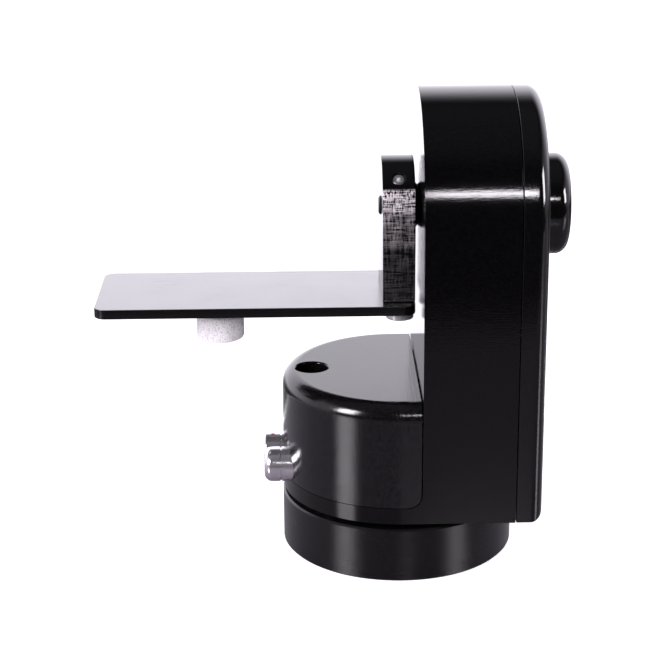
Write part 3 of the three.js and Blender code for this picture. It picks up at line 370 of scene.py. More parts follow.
def cap_screw(name, centre, head, height, shank, length):
    """A socket head cap screw along Z with its head's seat at the centre's height."""
    edge, seat_edge, tip = head * 0.12, head * 0.036, shank * 0.3
    profile = [(0, -height)] + arc(head - edge, -height + edge, edge, -90, 0, 5)
    profile += [(head - seat_edge, 0), (shank, 0), (shank, length - tip), (shank - tip, length), (0, length)]
    made = turned(name, profile, centre, steps=72)
    key, mouth, floor = hexagon(head * 0.5), -height * 1.2, -height * 0.45
    cut(made, loft("tool", [[Vector(centre) + Vector((x, y, z)) for x, y in key] for z in (mouth, floor)]))
    return smooth(made)


screw_black = steel("screw_black_oxide", (0.05, 0.05, 0.052), (0.028, 0.028, 0.03), (0.28, 0.4))
hub_head, hub_head_height, hub_shank = 0.0035, 0.004, 0.002
for i, (x, y) in enumerate(base_screw_places):
    low, high = base_screw_boxes[i]
    seat, length = (x, y, low.z + hub_head_height), high.z - low.z - hub_head_height
    screw = cap_screw(f"hub_cap_screw_{i + 1}", seat, hub_head, hub_head_height, hub_shank, length)
    screw.data.materials.append(screw_black)
    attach(screw, "base")
    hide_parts(f"hub_screw_{i + 1}")

# L FRAME
# Foot and tower milled from one block of aluminium, black anodised. The tower's round top is struck from the
# tilt axis, its inner edges carry a fine chamfer, and the corner between foot and tower is rounded.


def prism(name, outline, low, high, axis="Z"):
    """A closed outline extruded along an axis: (x, y) points along Z, or (y, z) points along X."""
    ends = [[(a, b, h) if axis == "Z" else (h, a, b) for a, b in outline] for h in (low, high)]
    return loft(name, ends)


def plain(radius, low, high):
    """The profile of a plain round bar or bore."""
    return [(0, low), (radius, low), (radius, high), (0, high)]


def soften(piece, width, steps=2, angle=35):
    change = piece.modifiers.new("soften", "BEVEL")
    change.width = width
    change.segments = steps
    change.limit_method = "ANGLE"
    change.angle_limit = math.radians(angle)
    change.miter_outer = "MITER_ARC"
    return apply_changes(piece)


frame_low, frame_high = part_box("l_frame")
head_radius = frame_high.y
tower_low_z = frame_low.z
tilt_z = frame_high.z - head_radius
seat_gap = 0.0001  # the clearance between pieces that sit on each other
foot_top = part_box("pan_cover")[0].z - seat_gap
tower_left = pan_x + 0.0065
tower_seam = frame_high.x


def tower_outline(inset, bottom, steps=96):
    half = head_radius - inset
    return [(-half, bottom), (half, bottom)] + arc(0, tilt_z, half, 0, 180, steps)


foot_end = tower_left + 0.002
foot_plan = [(foot_end, -head_radius), (foot_end, head_radius)]
foot_plan += arc(pan_x, 0, head_radius, 90, 270, 128)
l_frame = prism("l_frame_shell", tower_outline(0, tower_low_z), tower_left, tower_seam, "X")
foot = prism("foot", foot_plan, tower_low_z, foot_top)
corner = 0.0048


def corner_tool(radius, half_depth):
    """The hollow corner between foot and tower as a solid that reaches a little into both."""
    line = [(tower_left + past, foot_top - past), (tower_left - corner, foot_top - past)]
    line += arc(tower_left - corner, foot_top + corner, radius, -90, 0, 10)
    line.append((tower_left + past, foot_top + corner))
    return loft("tool", [[(x, y, z) for x, z in line] for y in (-half_depth, half_depth)])


combine(l_frame, "UNION", [foot, corner_tool(corner, head_radius)])
soften(l_frame, 0.0004, 2, 50)
wall = 0.004
portal, portal_top = 0.0328, 0.0583
portal_outline = [(-portal, foot_top), (portal, foot_top), (portal, portal_top), (-portal, portal_top)]
lip_r, bearing_r, lip_height, through = 0.01705, 0.0187, 0.0011, 0.02
bearing_seat = [(0, -past), (lip_r, -past), (lip_r, lip_height)]
bearing_seat += [(bearing_r, lip_height), (bearing_r, through), (0, through)]
bush_bore = 0.0052
cut(
    l_frame,
    prism("tool", tower_outline(wall, foot_top), tower_left + wall, tower_seam + past, "X"),
    prism("tool", portal_outline, tower_left - corner - past, tower_left + wall + past, "X"),
    turned("tool", bearing_seat, (pan_x, 0, tower_low_z), steps=96),
    turned("tool", plain(bush_bore, -0.01, through), (tower_left, 0, tilt_z), "X", steps=64),
)
foot_screw_boxes = [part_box(f"pan_cover_screw_{i}") for i in (1, 2, 3)]
foot_screw_places = [middle(box).xy for box in foot_screw_boxes]
sink_r, sink_hole, sink_end = 0.003, 0.0017, 0.008
sink = [(0, -past), (sink_r, -past), (sink_r, 0.0001), (sink_hole, 0.0014)]
sink += [(sink_hole, sink_end), (0, sink_end)]
cut(l_frame, *[turned("tool", sink, (x, y, tower_low_z), steps=40) for x, y in foot_screw_places])
smooth(l_frame)
l_frame.data.materials.append(anodised("frame_black", (220, 60, 2600), (0.075, 0.11), 0.3, index=1.46))
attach(l_frame, "pan_head")
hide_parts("l_frame")

# PAN COVER SCREWS
# Three countersunk screws of black oxide steel in the underside of the foot. They hold the round cover down
# from below.


def flat_screw(name, low, high, axis):
    """A countersunk screw with a hexagon socket, upwards along Z or inwards along X from its head's face."""
    head, shank, head_rim, tip = 0.0028, 0.0015, 0.0001, 0.0005
    cone, length = head - shank, (high.z - low.z if axis == "Z" else high.x - low.x)
    line = [(0, 0), (head - head_rim, 0), (head, head_rim), (shank, cone), (shank, length - tip)]
    line += [(shank * 0.7, length), (0, length)]
    key, ends = hexagon(head * 0.48), (-past, cone * 1.1)
    centre = middle((low, high))
    if axis == "Z":
        centre.z = low.z
        made = turned(name, line, centre, "Z", 56)
        rings = [[centre + Vector((a, b, h)) for a, b in key] for h in ends]
    else:
        centre.x = high.x
        made = turned(name, [(r, -h) for r, h in line], centre, "X", 56)
        rings = [[centre + Vector((-h, a, b)) for a, b in key] for h in ends]
    cut(made, loft("tool", rings))
    return smooth(made)


for i, (low, high) in enumerate(foot_screw_boxes):
    screw = flat_screw(f"cover_screw_{i + 1}", low, high, "Z")
    screw.data.materials.append(screw_black)
    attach(screw, "pan_head")
    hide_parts(f"pan_cover_screw_{i + 1}")

# PAN COVER
# A thin anodised shell over the pan drive, round beside the tower, with a rounded upper edge and a chamfered
# cable hole in its top. A pad inside the round wall holds the seats of both sockets. Screwed on from below.

cover_low, cover_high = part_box("pan_cover")
cover_edge = 0.0054


def cover_ring(radius, end, height, steps=128):
    points = [(end, radius)] + arc(pan_x, 0, radius, 90, 270, steps) + [(end, -radius)]
    return [(x, y, height) for x, y in points]


def cover_form(name, radius, bottom, top, edge, end):
    rings = [cover_ring(radius, end, bottom)]
    rings += [cover_ring(r, end, z) for r, z in arc(radius - edge, top - edge, edge, 0, 90, 8)]
    return loft(name, rings)


cover = cover_form("pan_cover_shell", head_radius, cover_low.z, cover_high.z, cover_edge, cover_high.x)
soften(cover, 0.00018, 1, 50)
side_wall, top_wall, hollow_edge = 0.0036, 0.004, 0.0018
hollow_r, hollow_top, hollow_end = head_radius - side_wall, cover_high.z - top_wall, cover_high.x + past
cut(cover, cover_form("tool", hollow_r, cover_low.z - past, hollow_top, hollow_edge, hollow_end))
port_x, port_r, port_mouth, port_depth = pan_x - 0.0296, 0.0056, 0.0061, 0.009
lip_low, lip_top = 0.0006, 0.0004
boss_r, boss_height, boss_drop = 0.0072, 0.006, 0.008
boss = turned("boss", plain(boss_r, 0, boss_height), (port_x, 0, cover_high.z - boss_drop), steps=64)
combine(cover, "UNION", [boss])
port_line = [(0, -port_depth), (port_r, -port_depth), (port_r, -lip_low), (port_r + 0.0001, -lip_top)]
port_line += [(port_mouth, 0), (port_mouth, past), (0, past)]
socket_boxes = {name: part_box(name) for name in ("front_socket", "rear_socket")}
socket_places = {name: middle(box).yz for name, box in socket_boxes.items()}
seat_x, pad_end = pan_x - 0.0362, pan_x - 0.0323
socket_r = (socket_boxes["front_socket"][1].z - socket_boxes["front_socket"][0].z) / 2
socket_ys = [y for y, z in socket_places.values()]
pad_reach = socket_r + 0.0006
pad_front, pad_back = min(socket_ys) - pad_reach, max(socket_ys) + pad_reach
pad_top = max(z for y, z in socket_places.values()) + pad_reach
pad_outline = [(pad_front, cover_low.z), (pad_back, cover_low.z), (pad_back, pad_top), (pad_front, pad_top)]
skin = 0.002
pad_room = cover_form("tool", head_radius - skin, cover_low.z - past, cover_high.z - skin, skin, cover_high.x)
pad = combine(prism("pad", pad_outline, cover_low.x, pad_end, "X"), "INTERSECT", [pad_room])
combine(cover, "UNION", [pad])
seat_r, seat_start, seat_depth = socket_r + seat_gap, -0.002, seat_x - cover_low.x
wire_hole, wire_end = 0.0033, 0.012
socket_seat = [(0, seat_start), (seat_r, seat_start), (seat_r, seat_depth), (wire_hole, seat_depth)]
socket_seat += [(wire_hole, wire_end), (0, wire_end)]
cut(
    cover,
    turned("tool", port_line, (port_x, 0, cover_high.z), steps=128),
    corner_tool(corner - 0.0003, head_radius + past),
    *[turned("tool", socket_seat, (cover_low.x, y, z), "X", 96) for y, z in socket_places.values()],
)
smooth(cover)
cover_marks, cover_rough = (1500, 60, 2600), (0.13, 0.18)
cover_look = anodised("cover_black", cover_marks, cover_rough, 0.7, stretch=0.2, index=1.53, speck=0.006)
cover.data.materials.append(cover_look)
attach(cover, "pan_head")
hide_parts("pan_cover")

# TOWER COVER
# The outer shell of the tower, milled from aluminium and anodised, with a large rounding all round its outer
# face and a bore for the tilt knob's bush.

side_low, side_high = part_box("tower_cover")
side_edge = 0.004
seam_gap = 0.00015
side_rings = [[(side_low.x + seam_gap, y, z) for y, z in tower_outline(0, tower_low_z)]]
for inset, x in arc(0, side_high.x - side_edge, side_edge, 0, 90, 10):
    outline = tower_outline(side_edge - inset, tower_low_z + side_edge - inset)
    side_rings.append([(x, y, z) for y, z in outline])
tower_cover = loft("tower_cover_shell", side_rings)
soften(tower_cover, 0.0002, 1, 60)
outer_wall, knob_bore, side_sink_end = 0.0036, 0.0073, 0.01
cavity = prism("tool", tower_outline(wall, foot_top), side_low.x - past, side_high.x - outer_wall, "X")
bore = turned("tool", plain(knob_bore, -0.02, 0.002), (side_high.x, 0, tilt_z), "X", 96)
side_screw_boxes = [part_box(f"tower_cover_screw_{i}") for i in (1, 2, 3, 4)]
side_sink = [(0, past), (sink_r, past), (sink_r, -0.0002), (sink_hole, -0.0016)]
side_sink += [(sink_hole, -side_sink_end), (0, -side_sink_end)]
side_sinks = []
for box in side_screw_boxes:
    y, z = middle(box).yz
    side_sinks.append(turned("tool", side_sink, (side_high.x, y, z), "X", 48))
cut(tower_cover, cavity, bore, *side_sinks)
smooth(tower_cover)
side_look = anodised("tower_cover_black", (300, 300, 2600), (0.075, 0.11), 0.3, index=1.56)
tower_cover.data.materials.append(side_look)
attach(tower_cover, "pan_head")
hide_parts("tower_cover")

# TOWER COVER SCREWS
# Four countersunk screws of black oxide steel in the cover's outer face, which hold it to the tower from
# outside.

for i, (low, high) in enumerate(side_screw_boxes):
    screw = flat_screw(f"side_screw_{i + 1}", low, high, "X")
    screw.data.materials.append(screw_black)
    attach(screw, "pan_head")
    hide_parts(f"tower_cover_screw_{i + 1}")

# TILT BUSHES
# Two flanged bushes of black bearing polymer, pressed into the tower's inner wall and its cover. The inner
# one's flange shows between the arm and the tower.


def polymer(name, shade=(0.012, 0.012, 0.013), rough=(0.4, 0.5)):
    lighter = tuple(1.5 * c for c in shade)
    return finish(name, (800, 800, 800), "Shade", shade, lighter, rough, 0.15, 0.00003)[0]


black_polymer = polymer("bearing_polymer")
bush_low, bush_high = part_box("inner_bush")
flange, shaft_room, bush_r = (bush_high.z - bush_low.z) / 2, 0.00328, bush_bore - seat_gap
flange_edge, flange_rim, flange_slope = 0.0004, 0.0003, 0.0011
flange_line = [(shaft_room, bush_low.x), (flange - flange_edge, bush_low.x)]
flange_line += [(flange, bush_low.x + flange_rim), (flange - flange_slope, tower_left - seat_gap)]
flange_line.append((bush_r, tower_left - seat_gap))
flange_line += [(bush_r, bush_high.x), (shaft_room, bush_high.x)]
inner_bush = smooth(turned("tilt_bush_inner", flange_line, (0, 0, tilt_z), "X", 96))
outer_low, outer_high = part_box("outer_bush")
stem_room, sleeve, outer_flange, flange_seat = 0.0053, 0.0071, 0.009, side_high.x + seat_gap
outer_line = [(stem_room, outer_low.x), (sleeve, outer_low.x), (sleeve, flange_seat)]
outer_line += [(outer_flange, flange_seat), (outer_flange, outer_high.x), (stem_room, outer_high.x)]
outer_bush = smooth(turned("tilt_bush_outer", outer_line, (0, 0, tilt_z), "X", 96))
for bush, node in ((inner_bush, "inner_bush"), (outer_bush, "outer_bush")):
    bush.data.materials.append(black_polymer)
    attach(bush, "pan_head")
    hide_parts(node)

# TILT ARM
# A thick bar with a round end, milled from aluminium and black anodised. On its narrow sides an end mill has
# left bare, cross-hatched cutter marks, which grow stronger in steps towards the tilt axis. Their strongest
# band, just above the axis, is a painted highlight that stands in for the front light's reflection.

arm_low, arm_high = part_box("tilt_arm")
arm_half = arm_high.y
arm_outline = [(-arm_half, arm_low.z), (arm_half, arm_low.z)] + arc(0, tilt_z, arm_half, 0, 180, 72)
arm = prism("tilt_arm_bar", arm_outline, arm_low.x, arm_high.x, "X")
soften(arm, 0.00035, 2, 50)
arm_bore, clamp_r, clamp_mouth, clamp_end = 0.0032, 0.0021, 0.0025, 0.004
clamp_edge, clamp_rim = arm_half - 0.0004, arm_half + 0.0001
clamp_line = [(0, clamp_end), (clamp_r, clamp_end), (clamp_r, clamp_edge)]
clamp_line += [(clamp_mouth, clamp_rim), (clamp_mouth, arm_half + past), (0, arm_half + past)]
clamp_tool = turned("tool", clamp_line, (0, 0, 0), steps=56)
arm_middle = middle((arm_low, arm_high)).x
clamp_turn = Matrix.Translation((arm_middle, 0, tilt_z)) @ Matrix.Rotation(math.radians(45), 4, "X")
clamp_tool.data.transform(clamp_turn)
cut(arm, turned("tool", plain(arm_bore, -0.02, 0.02), (arm_low.x, 0, tilt_z), "X", 72), clamp_tool)
smooth(arm)


def split(nodes, links, vector):
    made = nodes.new("ShaderNodeSeparateXYZ")
    links.new(vector, made.inputs[0])
    return made.outputs


def levels(nodes, links, value, stops):
    """Grey levels along a value, even in between; an end without a level of its own stays black or white."""
    made = nodes.new("ShaderNodeValToRGB")
    ends = made.color_ramp.elements
    for place, level in stops:
        stop = ends.new(place) if 0 < place < 1 else ends[-1 if place else 0]
        stop.color = (level, level, level, 1)
    links.new(value, made.inputs["Fac"])
    return made.outputs["Color"]


def blend(nodes, links, share, a, b, kind="RGBA"):
    """The first colour or number where the share is none, the second where it is one."""
    made = nodes.new("ShaderNodeMix")
    made.data_type = kind
    for name, term in (("Factor", share), ("A", a), ("B", b)):
        feed(links, made.inputs[name], term)
    return made.outputs["Result"]


def milled_with_highlight(name):
    """Black anodised aluminium; its narrow sides show uncoated metal on the ridges of two crossed marks,
    whose strongest band is a painted highlight.
    """
    made, nodes, links, shader = new_material(name)
    coordinates = nodes.new("ShaderNodeTexCoord")
    where = coordinates.outputs["Object"]
    surface = surface_node(nodes, (150, 150, 2400))
    crossed = []
    for factors in ((150, 150, 1900), (1700, 1700, 170)):
        crossed.append(noise_node(nodes, links, stretched(nodes, links, where, factors), 1, 3, 0.6))
    hatch = math_node(nodes, links, "ADD", *crossed)
    marks_low, marks_high = 0.1, 0.14
    height_on_arm = map_range(nodes, links, split(nodes, links, where)["Z"], marks_low, marks_high)
    # Strength of the marks up the arm: faint low down, stronger towards the axis, strongest just above it,
    # where the band is a painted highlight, and none on the upper round end.
    steps = ((0, 0.03), (0.22, 0.04), (0.27, 0.17), (0.5, 0.27), (0.56, 0.85), (0.71, 1), (0.73, 0), (1, 0))
    strength = levels(nodes, links, height_on_arm, steps)
    facing = split(nodes, links, coordinates.outputs["Normal"])
    narrow_side = math_node(nodes, links, "LESS_THAN", math_node(nodes, links, "ABSOLUTE", facing["X"]), 0.5)
    marks_and_highlight_zone = math_node(nodes, links, "MULTIPLY", strength, narrow_side)
    ridges = map_range(nodes, links, hatch, 0.9, 1.09)
    patches = spread(nodes, links, noise_node(nodes, links, where, 230, 3), 0.55, 1.4)
    wear_and_highlight = math_node(nodes, links, "MULTIPLY", patches, marks_and_highlight_zone)
    # The pale metal shown here is partly worn-through anodising on the ridges and partly a painted highlight.
    bare_metal_and_highlight = math_node(nodes, links, "MULTIPLY", ridges, wear_and_highlight, clamp=True)
    black = ramp(nodes, links, surface["Shade"], (0.0006, 0.0005, 0.0007), (0.0016, 0.0014, 0.0018))
    links.new(blend(nodes, links, bare_metal_and_highlight, black, (0.97, 0.9, 0.93, 1)), shader.inputs["Base Color"])
    links.new(bare_metal_and_highlight, shader.inputs["Metallic"])
    gloss = spread(nodes, links, surface["Shade"], 0.12, 0.18)
    links.new(math_node(nodes, links, "MULTIPLY_ADD", bare_metal_and_highlight, 0.5, gloss), shader.inputs["Roughness"])
    fine = relief(nodes, links, surface["Height"], 0.06, 0.00004)
    marks = math_node(nodes, links, "MULTIPLY", hatch, marks_and_highlight_zone)
    links.new(relief(nodes, links, marks, 0.6, 0.0002, fine), shader.inputs["Normal"])
    shader.inputs["IOR"].default_value = 1.5
    return made


arm.data.materials.append(milled_with_highlight("arm_black"))
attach(arm, "tilt_head")
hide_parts("tilt_arm")

# ARM SET SCREW
# A short stainless set screw with a hexagon socket, at 45 degrees in the arm's round end. It clamps the arm
# on the shaft.

grub_r, grub_tip, grub_end, key_r, key_depth = 0.002, 0.0035, arm_half - 0.0005, 0.0011, 0.002
grub_edge, grub_rim = 0.0004, 0.0003
grub_line = [(0, grub_tip), (grub_r - grub_edge, grub_tip), (grub_r, grub_tip + grub_edge)]
grub_line += [(grub_r, grub_end - grub_rim), (grub_r - grub_rim, grub_end), (0, grub_end)]
grub = turned("arm_grub_screw", grub_line, (0, 0, 0), steps=48)
cut(grub, prism("tool", hexagon(key_r), grub_end - key_depth, grub_end + past))
grub.data.transform(clamp_turn)
smooth(grub)
grub.data.materials.append(steel("set_screw_steel", (0.95, 0.93, 0.96), (0.7, 0.69, 0.71), (0.3, 0.45)))
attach(grub, "tilt_head")
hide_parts("arm_set_screw")

# TILT SHAFT
# A ground stainless shaft that runs in both bushes and carries the arm. Its chamfered end stands out of the
# arm.

shaft_low, shaft_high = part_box("tilt_shaft")
shaft_r = (shaft_high.z - shaft_low.z) / 2
shaft_edge, shaft_chamfer = 0.0006, 0.0005
shaft_line = [(0, shaft_low.x), (shaft_r - shaft_edge, shaft_low.x), (shaft_r, shaft_low.x + shaft_chamfer)]
shaft_line += [(shaft_r, shaft_high.x), (0, shaft_high.x)]
shaft = smooth(turned("tilt_axle", shaft_line, (0, 0, tilt_z), "X", 72))
shaft.data.materials.append(steel("shaft_steel", (0.08, 0.08, 0.085), (0.05, 0.05, 0.052), (0.25, 0.35)))
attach(shaft, "tilt_head")
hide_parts("tilt_shaft")

# CAMERA PLATE
# A flat bar of black anodised aluminium with rounded corners, fixed under the arm's foot. Its top is brushed
# along its length and has a clear satin coat.

plate_low, plate_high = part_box("camera_plate")
plate_round = 0.004
plate_half = plate_high.y
plate_outline = arc(plate_high.x - plate_round, -plate_half + plate_round, plate_round, -90, 0, 16)
plate_outline += arc(plate_high.x - plate_round, plate_half - plate_round, plate_round, 0, 90, 16)
plate_outline += arc(plate_low.x + plate_round, plate_half - plate_round, plate_round, 90, 180, 16)
plate_outline += arc(plate_low.x + plate_round, -plate_half + plate_round, plate_round, 180, 270, 16)
plate = prism("camera_plate_bar", plate_outline, plate_low.z, plate_high.z)
soften(plate, 0.0003, 2, 50)
camera_low, camera_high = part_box("camera_screw")
screw_x = middle((camera_low, camera_high)).x
thread_bore, screw_bore, plate_depth = 0.00312, 0.0026, 0.006
plate_screw_boxes = [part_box(f"plate_screw_{i}") for i in (1, 2)]
plate_screw_places = [middle(box).xy for box in plate_screw_boxes]
screw_hole = plain(screw_bore, -plate_depth, past)
cut(
    plate,
    turned("tool", plain(thread_bore, -plate_depth, past), (screw_x, 0, plate_high.z), steps=64),
    *[turned("tool", screw_hole, (x, y, plate_high.z), steps=48) for x, y in plate_screw_places],
)
smooth(plate)
plate_look = anodised("plate_black", (60, 1900, 1900), (0.2, 0.28), 0.12, along=(0.01, 1, 0.3), stretch=0.2)
nodes, links = plate_look.node_tree.nodes, plate_look.node_tree.links
shader = nodes["Principled BSDF"]
facing = split(nodes, links, nodes.new("ShaderNodeTexCoord").outputs["Normal"])
links.new(math_node(nodes, links, "GREATER_THAN", facing["Z"], 0.9), shader.inputs["Coat Weight"])
shader.inputs["Coat Roughness"].default_value = 0.2
plate.data.materials.append(plate_look)
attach(plate, "tilt_head")
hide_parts("camera_plate")

# PLATE SCREWS
# Two stainless cap screws with bright satin heads, which hold the plate to the arm's foot. Their heads stand
# below the plate.

screw_bright = steel("plate_screw_steel", (1, 0.98, 1), (0.7, 0.69, 0.71), (0.25, 0.35), metal=0.5)
head_height, plate_shank = 0.0046, 0.0025
for i, (x, y) in enumerate(plate_screw_places):
    low, high = plate_screw_boxes[i]
    head, seat, length = (high.x - low.x) / 2, (x, y, low.z + head_height), high.z - low.z - head_height
    screw = cap_screw(f"plate_cap_screw_{i + 1}", seat, head, head_height, plate_shank, length)
    screw.data.materials.append(screw_bright)
    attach(screw, "tilt_head")
    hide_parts(f"plate_screw_{i + 1}")

# TILT KNOB
# A round knob turned from black anodised aluminium, with a soft outer edge. It turns on the shaft's end and
# tightens the tilt clutch.

knob_low, knob_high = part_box("tilt_knob")
knob_r = knob_high.y
knob_edge, knob_rim = 0.0042, 0.0006
stud_room, collar_r, ring_r, recess, stud_depth = 0.0034, 0.0049, 0.011, 0.0016, 0.007
knob_line = [(stud_room, knob_low.x), (collar_r, knob_low.x), (collar_r, knob_low.x + recess)]
knob_line += [(ring_r, knob_low.x + recess), (ring_r, knob_low.x), (knob_r - knob_rim, knob_low.x)]
knob_line.append((knob_r, knob_low.x + knob_rim))
knob_line += arc(knob_r - knob_edge, knob_high.x - knob_edge, knob_edge, 0, 90, 12)
knob_line += [(0, knob_high.x), (0, knob_low.x + stud_depth), (stud_room, knob_low.x + stud_depth)]
knob = smooth(turned("tilt_clutch_knob", knob_line, (0, 0, tilt_z), "X", 160))
knob.data.materials.append(anodised("knob_black", (2400, 300, 300), (0.08, 0.12), 0.1, index=1.58))
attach(knob, "clutch_knob")
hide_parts("tilt_knob")

# CAMERA SCREW
# A stainless screw with a finely knurled head and a blasted, pale grey face. A thin black washer keeps it in
# the plate, and the thread's end is black like the plate.

camera_r = camera_high.y
washer_low, washer_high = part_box("captive_washer")
head_top = washer_low.z - seat_gap
face_edge, face_rim, grip_low, grip_top, top_edge = 0.0012, 0.0004, 0.0011, 0.0008, 0.0007
head_line = [(camera_r - face_edge, camera_low.z), (camera_r - face_rim, camera_low.z + face_rim)]
head_line += [(camera_r, camera_low.z + grip_low), (camera_r, head_top - grip_top)]
head_line.append((camera_r - top_edge, head_top))
ridges, ridge_depth = 64, 0.00028
ridge_shares = (0, 0.5, 1, 0.5)
rings = []
for r, z in head_line:
    depth = ridge_depth if r == camera_r else 0
    ring = []
    for k in range(ridges * len(ridge_shares)):
        t = 2 * math.pi * k / (ridges * len(ridge_shares))
        radius = r - depth * ridge_shares[k % len(ridge_shares)]
        ring.append((screw_x + radius * math.cos(t), radius * math.sin(t), z))
    rings.append(ring)
camera_head = loft("camera_screw_head", rings)
smooth(camera_head, 40)
camera_steel, nodes, links, shader = new_material("camera_screw_steel")
where = nodes.new("ShaderNodeTexCoord").outputs["Object"]
pits = noise_node(nodes, links, where, 1500, 3, 0.65)
links.new(ramp(nodes, links, pits, (0.66, 0.64, 0.65), (1, 0.98, 1), 0.36, 0.5), shader.inputs["Base Color"])
links.new(spread(nodes, links, pits, 0.55, 0.35), shader.inputs["Roughness"])
links.new(relief(nodes, links, pits, 0.35, 0.0002), shader.inputs["Normal"])
shader.inputs["Metallic"].default_value = 0.2
camera_head.data.materials.append(camera_steel)
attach(camera_head, "camera_screw")
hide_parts("camera_screw")
shank_r, root_r, neck_r, screw_pitch = 0.0031, 0.0026, 0.0036, 0.00127
neck_low, neck_top, root_low = head_top + 0.00002, head_top + 0.00008, head_top + 0.0002
flank, crest = 0.0005, 0.00015
shank_line = [(0, neck_low), (neck_r, neck_low), (neck_r, neck_top), (root_r, root_low)]
z, thread_end, shank_top = head_top + 0.0013, plate_low.z + 0.0006, plate_high.z - 0.00001
while z < thread_end:
    shank_line += [(root_r, z), (shank_r, z + flank), (shank_r, z + flank + crest)]
    z += screw_pitch
shank_line += [(shank_r, z), (shank_r, shank_top), (0, shank_top)]
camera_shank = smooth(turned("camera_screw_thread", shank_line, (screw_x, 0, 0), steps=72))
camera_shank.data.materials.append(plate_look)
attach(camera_shank, "camera_screw")
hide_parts("camera_screw")

washer_r, washer_bore, washer_edge = washer_high.y, 0.0032, 0.0002
washer_line = [(washer_bore, washer_low.z), (washer_r - washer_edge, washer_low.z)]
washer_line += [(washer_r, washer_low.z + washer_edge), (washer_r, washer_high.z - washer_edge)]
washer_line += [(washer_r - washer_edge, washer_high.z), (washer_bore, washer_high.z)]
washer = smooth(turned("camera_screw_washer", washer_line, (screw_x, 0, 0), steps=96))
washer.data.materials.append(black_polymer)
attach(washer, "camera_washer")
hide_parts("captive_washer")

# SOCKETS
# Two round chrome plated sockets that sit in round seats in the cover's wall. The front one has a rounded end
# and a finely knurled grip; the rear one is plain, with a small red dot that shows how the plug goes in.


def socket_chrome(name, knurl, dot):
    """Satin chrome plate with turned rings; fine knurling over the whole shell and a red enamel dot are laid
    over it.
    """
    made, nodes, links, shader = new_material(name)
    surface = surface_node(nodes, (4200, 500, 500))
    where = nodes.new("ShaderNodeTexCoord").outputs["Object"]
    far = nodes.new("ShaderNodeVectorMath")
    far.operation = "DISTANCE"
    far.inputs[1].default_value = dot
    links.new(where, far.inputs[0])
    spot = map_range(nodes, links, far.outputs["Value"], 0.00075, 0.0006)
    plated = ramp(nodes, links, surface["Shade"], (0.78, 0.76, 0.79), (0.92, 0.9, 0.93))
    links.new(blend(nodes, links, spot, plated, (0.16, 0.02, 0.02, 1)), shader.inputs["Base Color"])
    links.new(math_node(nodes, links, "SUBTRACT", 0.9, spot, clamp=True), shader.inputs["Metallic"])
    links.new(spread(nodes, links, surface["Shade"], 0.13, 0.2), shader.inputs["Roughness"])
    cells = noise_node(nodes, links, where, 2400, 2)
    height = math_node(nodes, links, "MULTIPLY_ADD", cells, knurl, surface["Height"])
    links.new(relief(nodes, links, height, 0.12, 0.00006), shader.inputs["Normal"])
    return made


groove, groove_depth, groove_slope, groove_width = pan_x - 0.0409, 0.0004, 0.0001, 0.0006
root, root_edge = seat_x - 0.00005, 0.0001
mouth_wall, mouth_edge, bore_depth, stem_r, stem_bore = 0.0013, 0.0003, 0.0049, 0.0032, 0.0024
for name, (y, z) in socket_places.items():
    low, high = socket_boxes[name]
    r = (high.z - low.z) / 2
    rounded = name == "front_socket"
    edge = 0.0026 if rounded else 0.0005
    end = low.x
    mouth = r - mouth_wall - edge / 2
    line = [(mouth, end + bore_depth), (mouth, end + mouth_edge), (mouth + mouth_edge, end)]
    line += arc(r - edge, end + edge, edge, -90, 0, 10)
    line += [(r, groove), (r - groove_depth, groove + groove_slope)]
    line += [(r - groove_depth, groove + groove_width - groove_slope), (r, groove + groove_width)]
    line += [(r, root - root_edge), (r - root_edge, root), (stem_r, root)]
    line += [(stem_r, high.x), (stem_bore, high.x), (stem_bore, end + bore_depth)]
    shell = smooth(turned(f"{name}_shell", line, (0, y, z), "X", 96))
    knurl, dot = (3, (0, 0, 0)) if rounded else (0.3, (end + 0.0028, y - 0.0009, z + r - 0.0001))
    shell.data.materials.append(socket_chrome(f"{name}_chrome", knurl, dot))
    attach(shell, "pan_head")
    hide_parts(name)

# DRIVE PIECES
# The pieces inside the head keep their shapes from the model: steel, bronze, motor cans, bearing rings, the
# circuit board and the friction pads.

bronze = steel("bronze_machined", (0.62, 0.41, 0.19), (0.5, 0.32, 0.14), (0.28, 0.4), (1400, 1400, 1400))
can_steel = steel("motor_can_steel", (0.42, 0.43, 0.45), (0.33, 0.34, 0.36), (0.3, 0.42), (300, 300, 3000))
bearing_light, bearing_dark = (0.74, 0.74, 0.75), (0.66, 0.66, 0.67)
bearing_steel = steel("bearing_steel", bearing_light, bearing_dark, (0.1, 0.16), (900, 900, 900), 0.02)
board = polymer("board_green", (0.02, 0.11, 0.05), (0.3, 0.4))
chip = polymer("chip_black", (0.014, 0.014, 0.015), (0.35, 0.45))
fibre = polymer("friction_fibre", (0.12, 0.08, 0.05), (0.7, 0.85))
looks = {
    "stainless_steel": stainless,
    "chrome_steel": bearing_steel,
    "bronze": bronze,
    "motor_can": can_steel,
    "black_polymer": black_polymer,
    "board": board,
    "chip": chip,
    "friction_pad": fibre,
}
for entry in frame["record"]["subparts"]:
    node = frame["nodes"][entry["node"]]
    if not node.hide_render and entry["material_slot"] in looks:
        for i in range(len(node.material_slots)):
            node.material_slots[i].material = looks[entry["material_slot"]]

# CAMERA
# The view of the photograph, with perspective. Its place, turn and focal length were solved from 60 points on
# the object's edges.

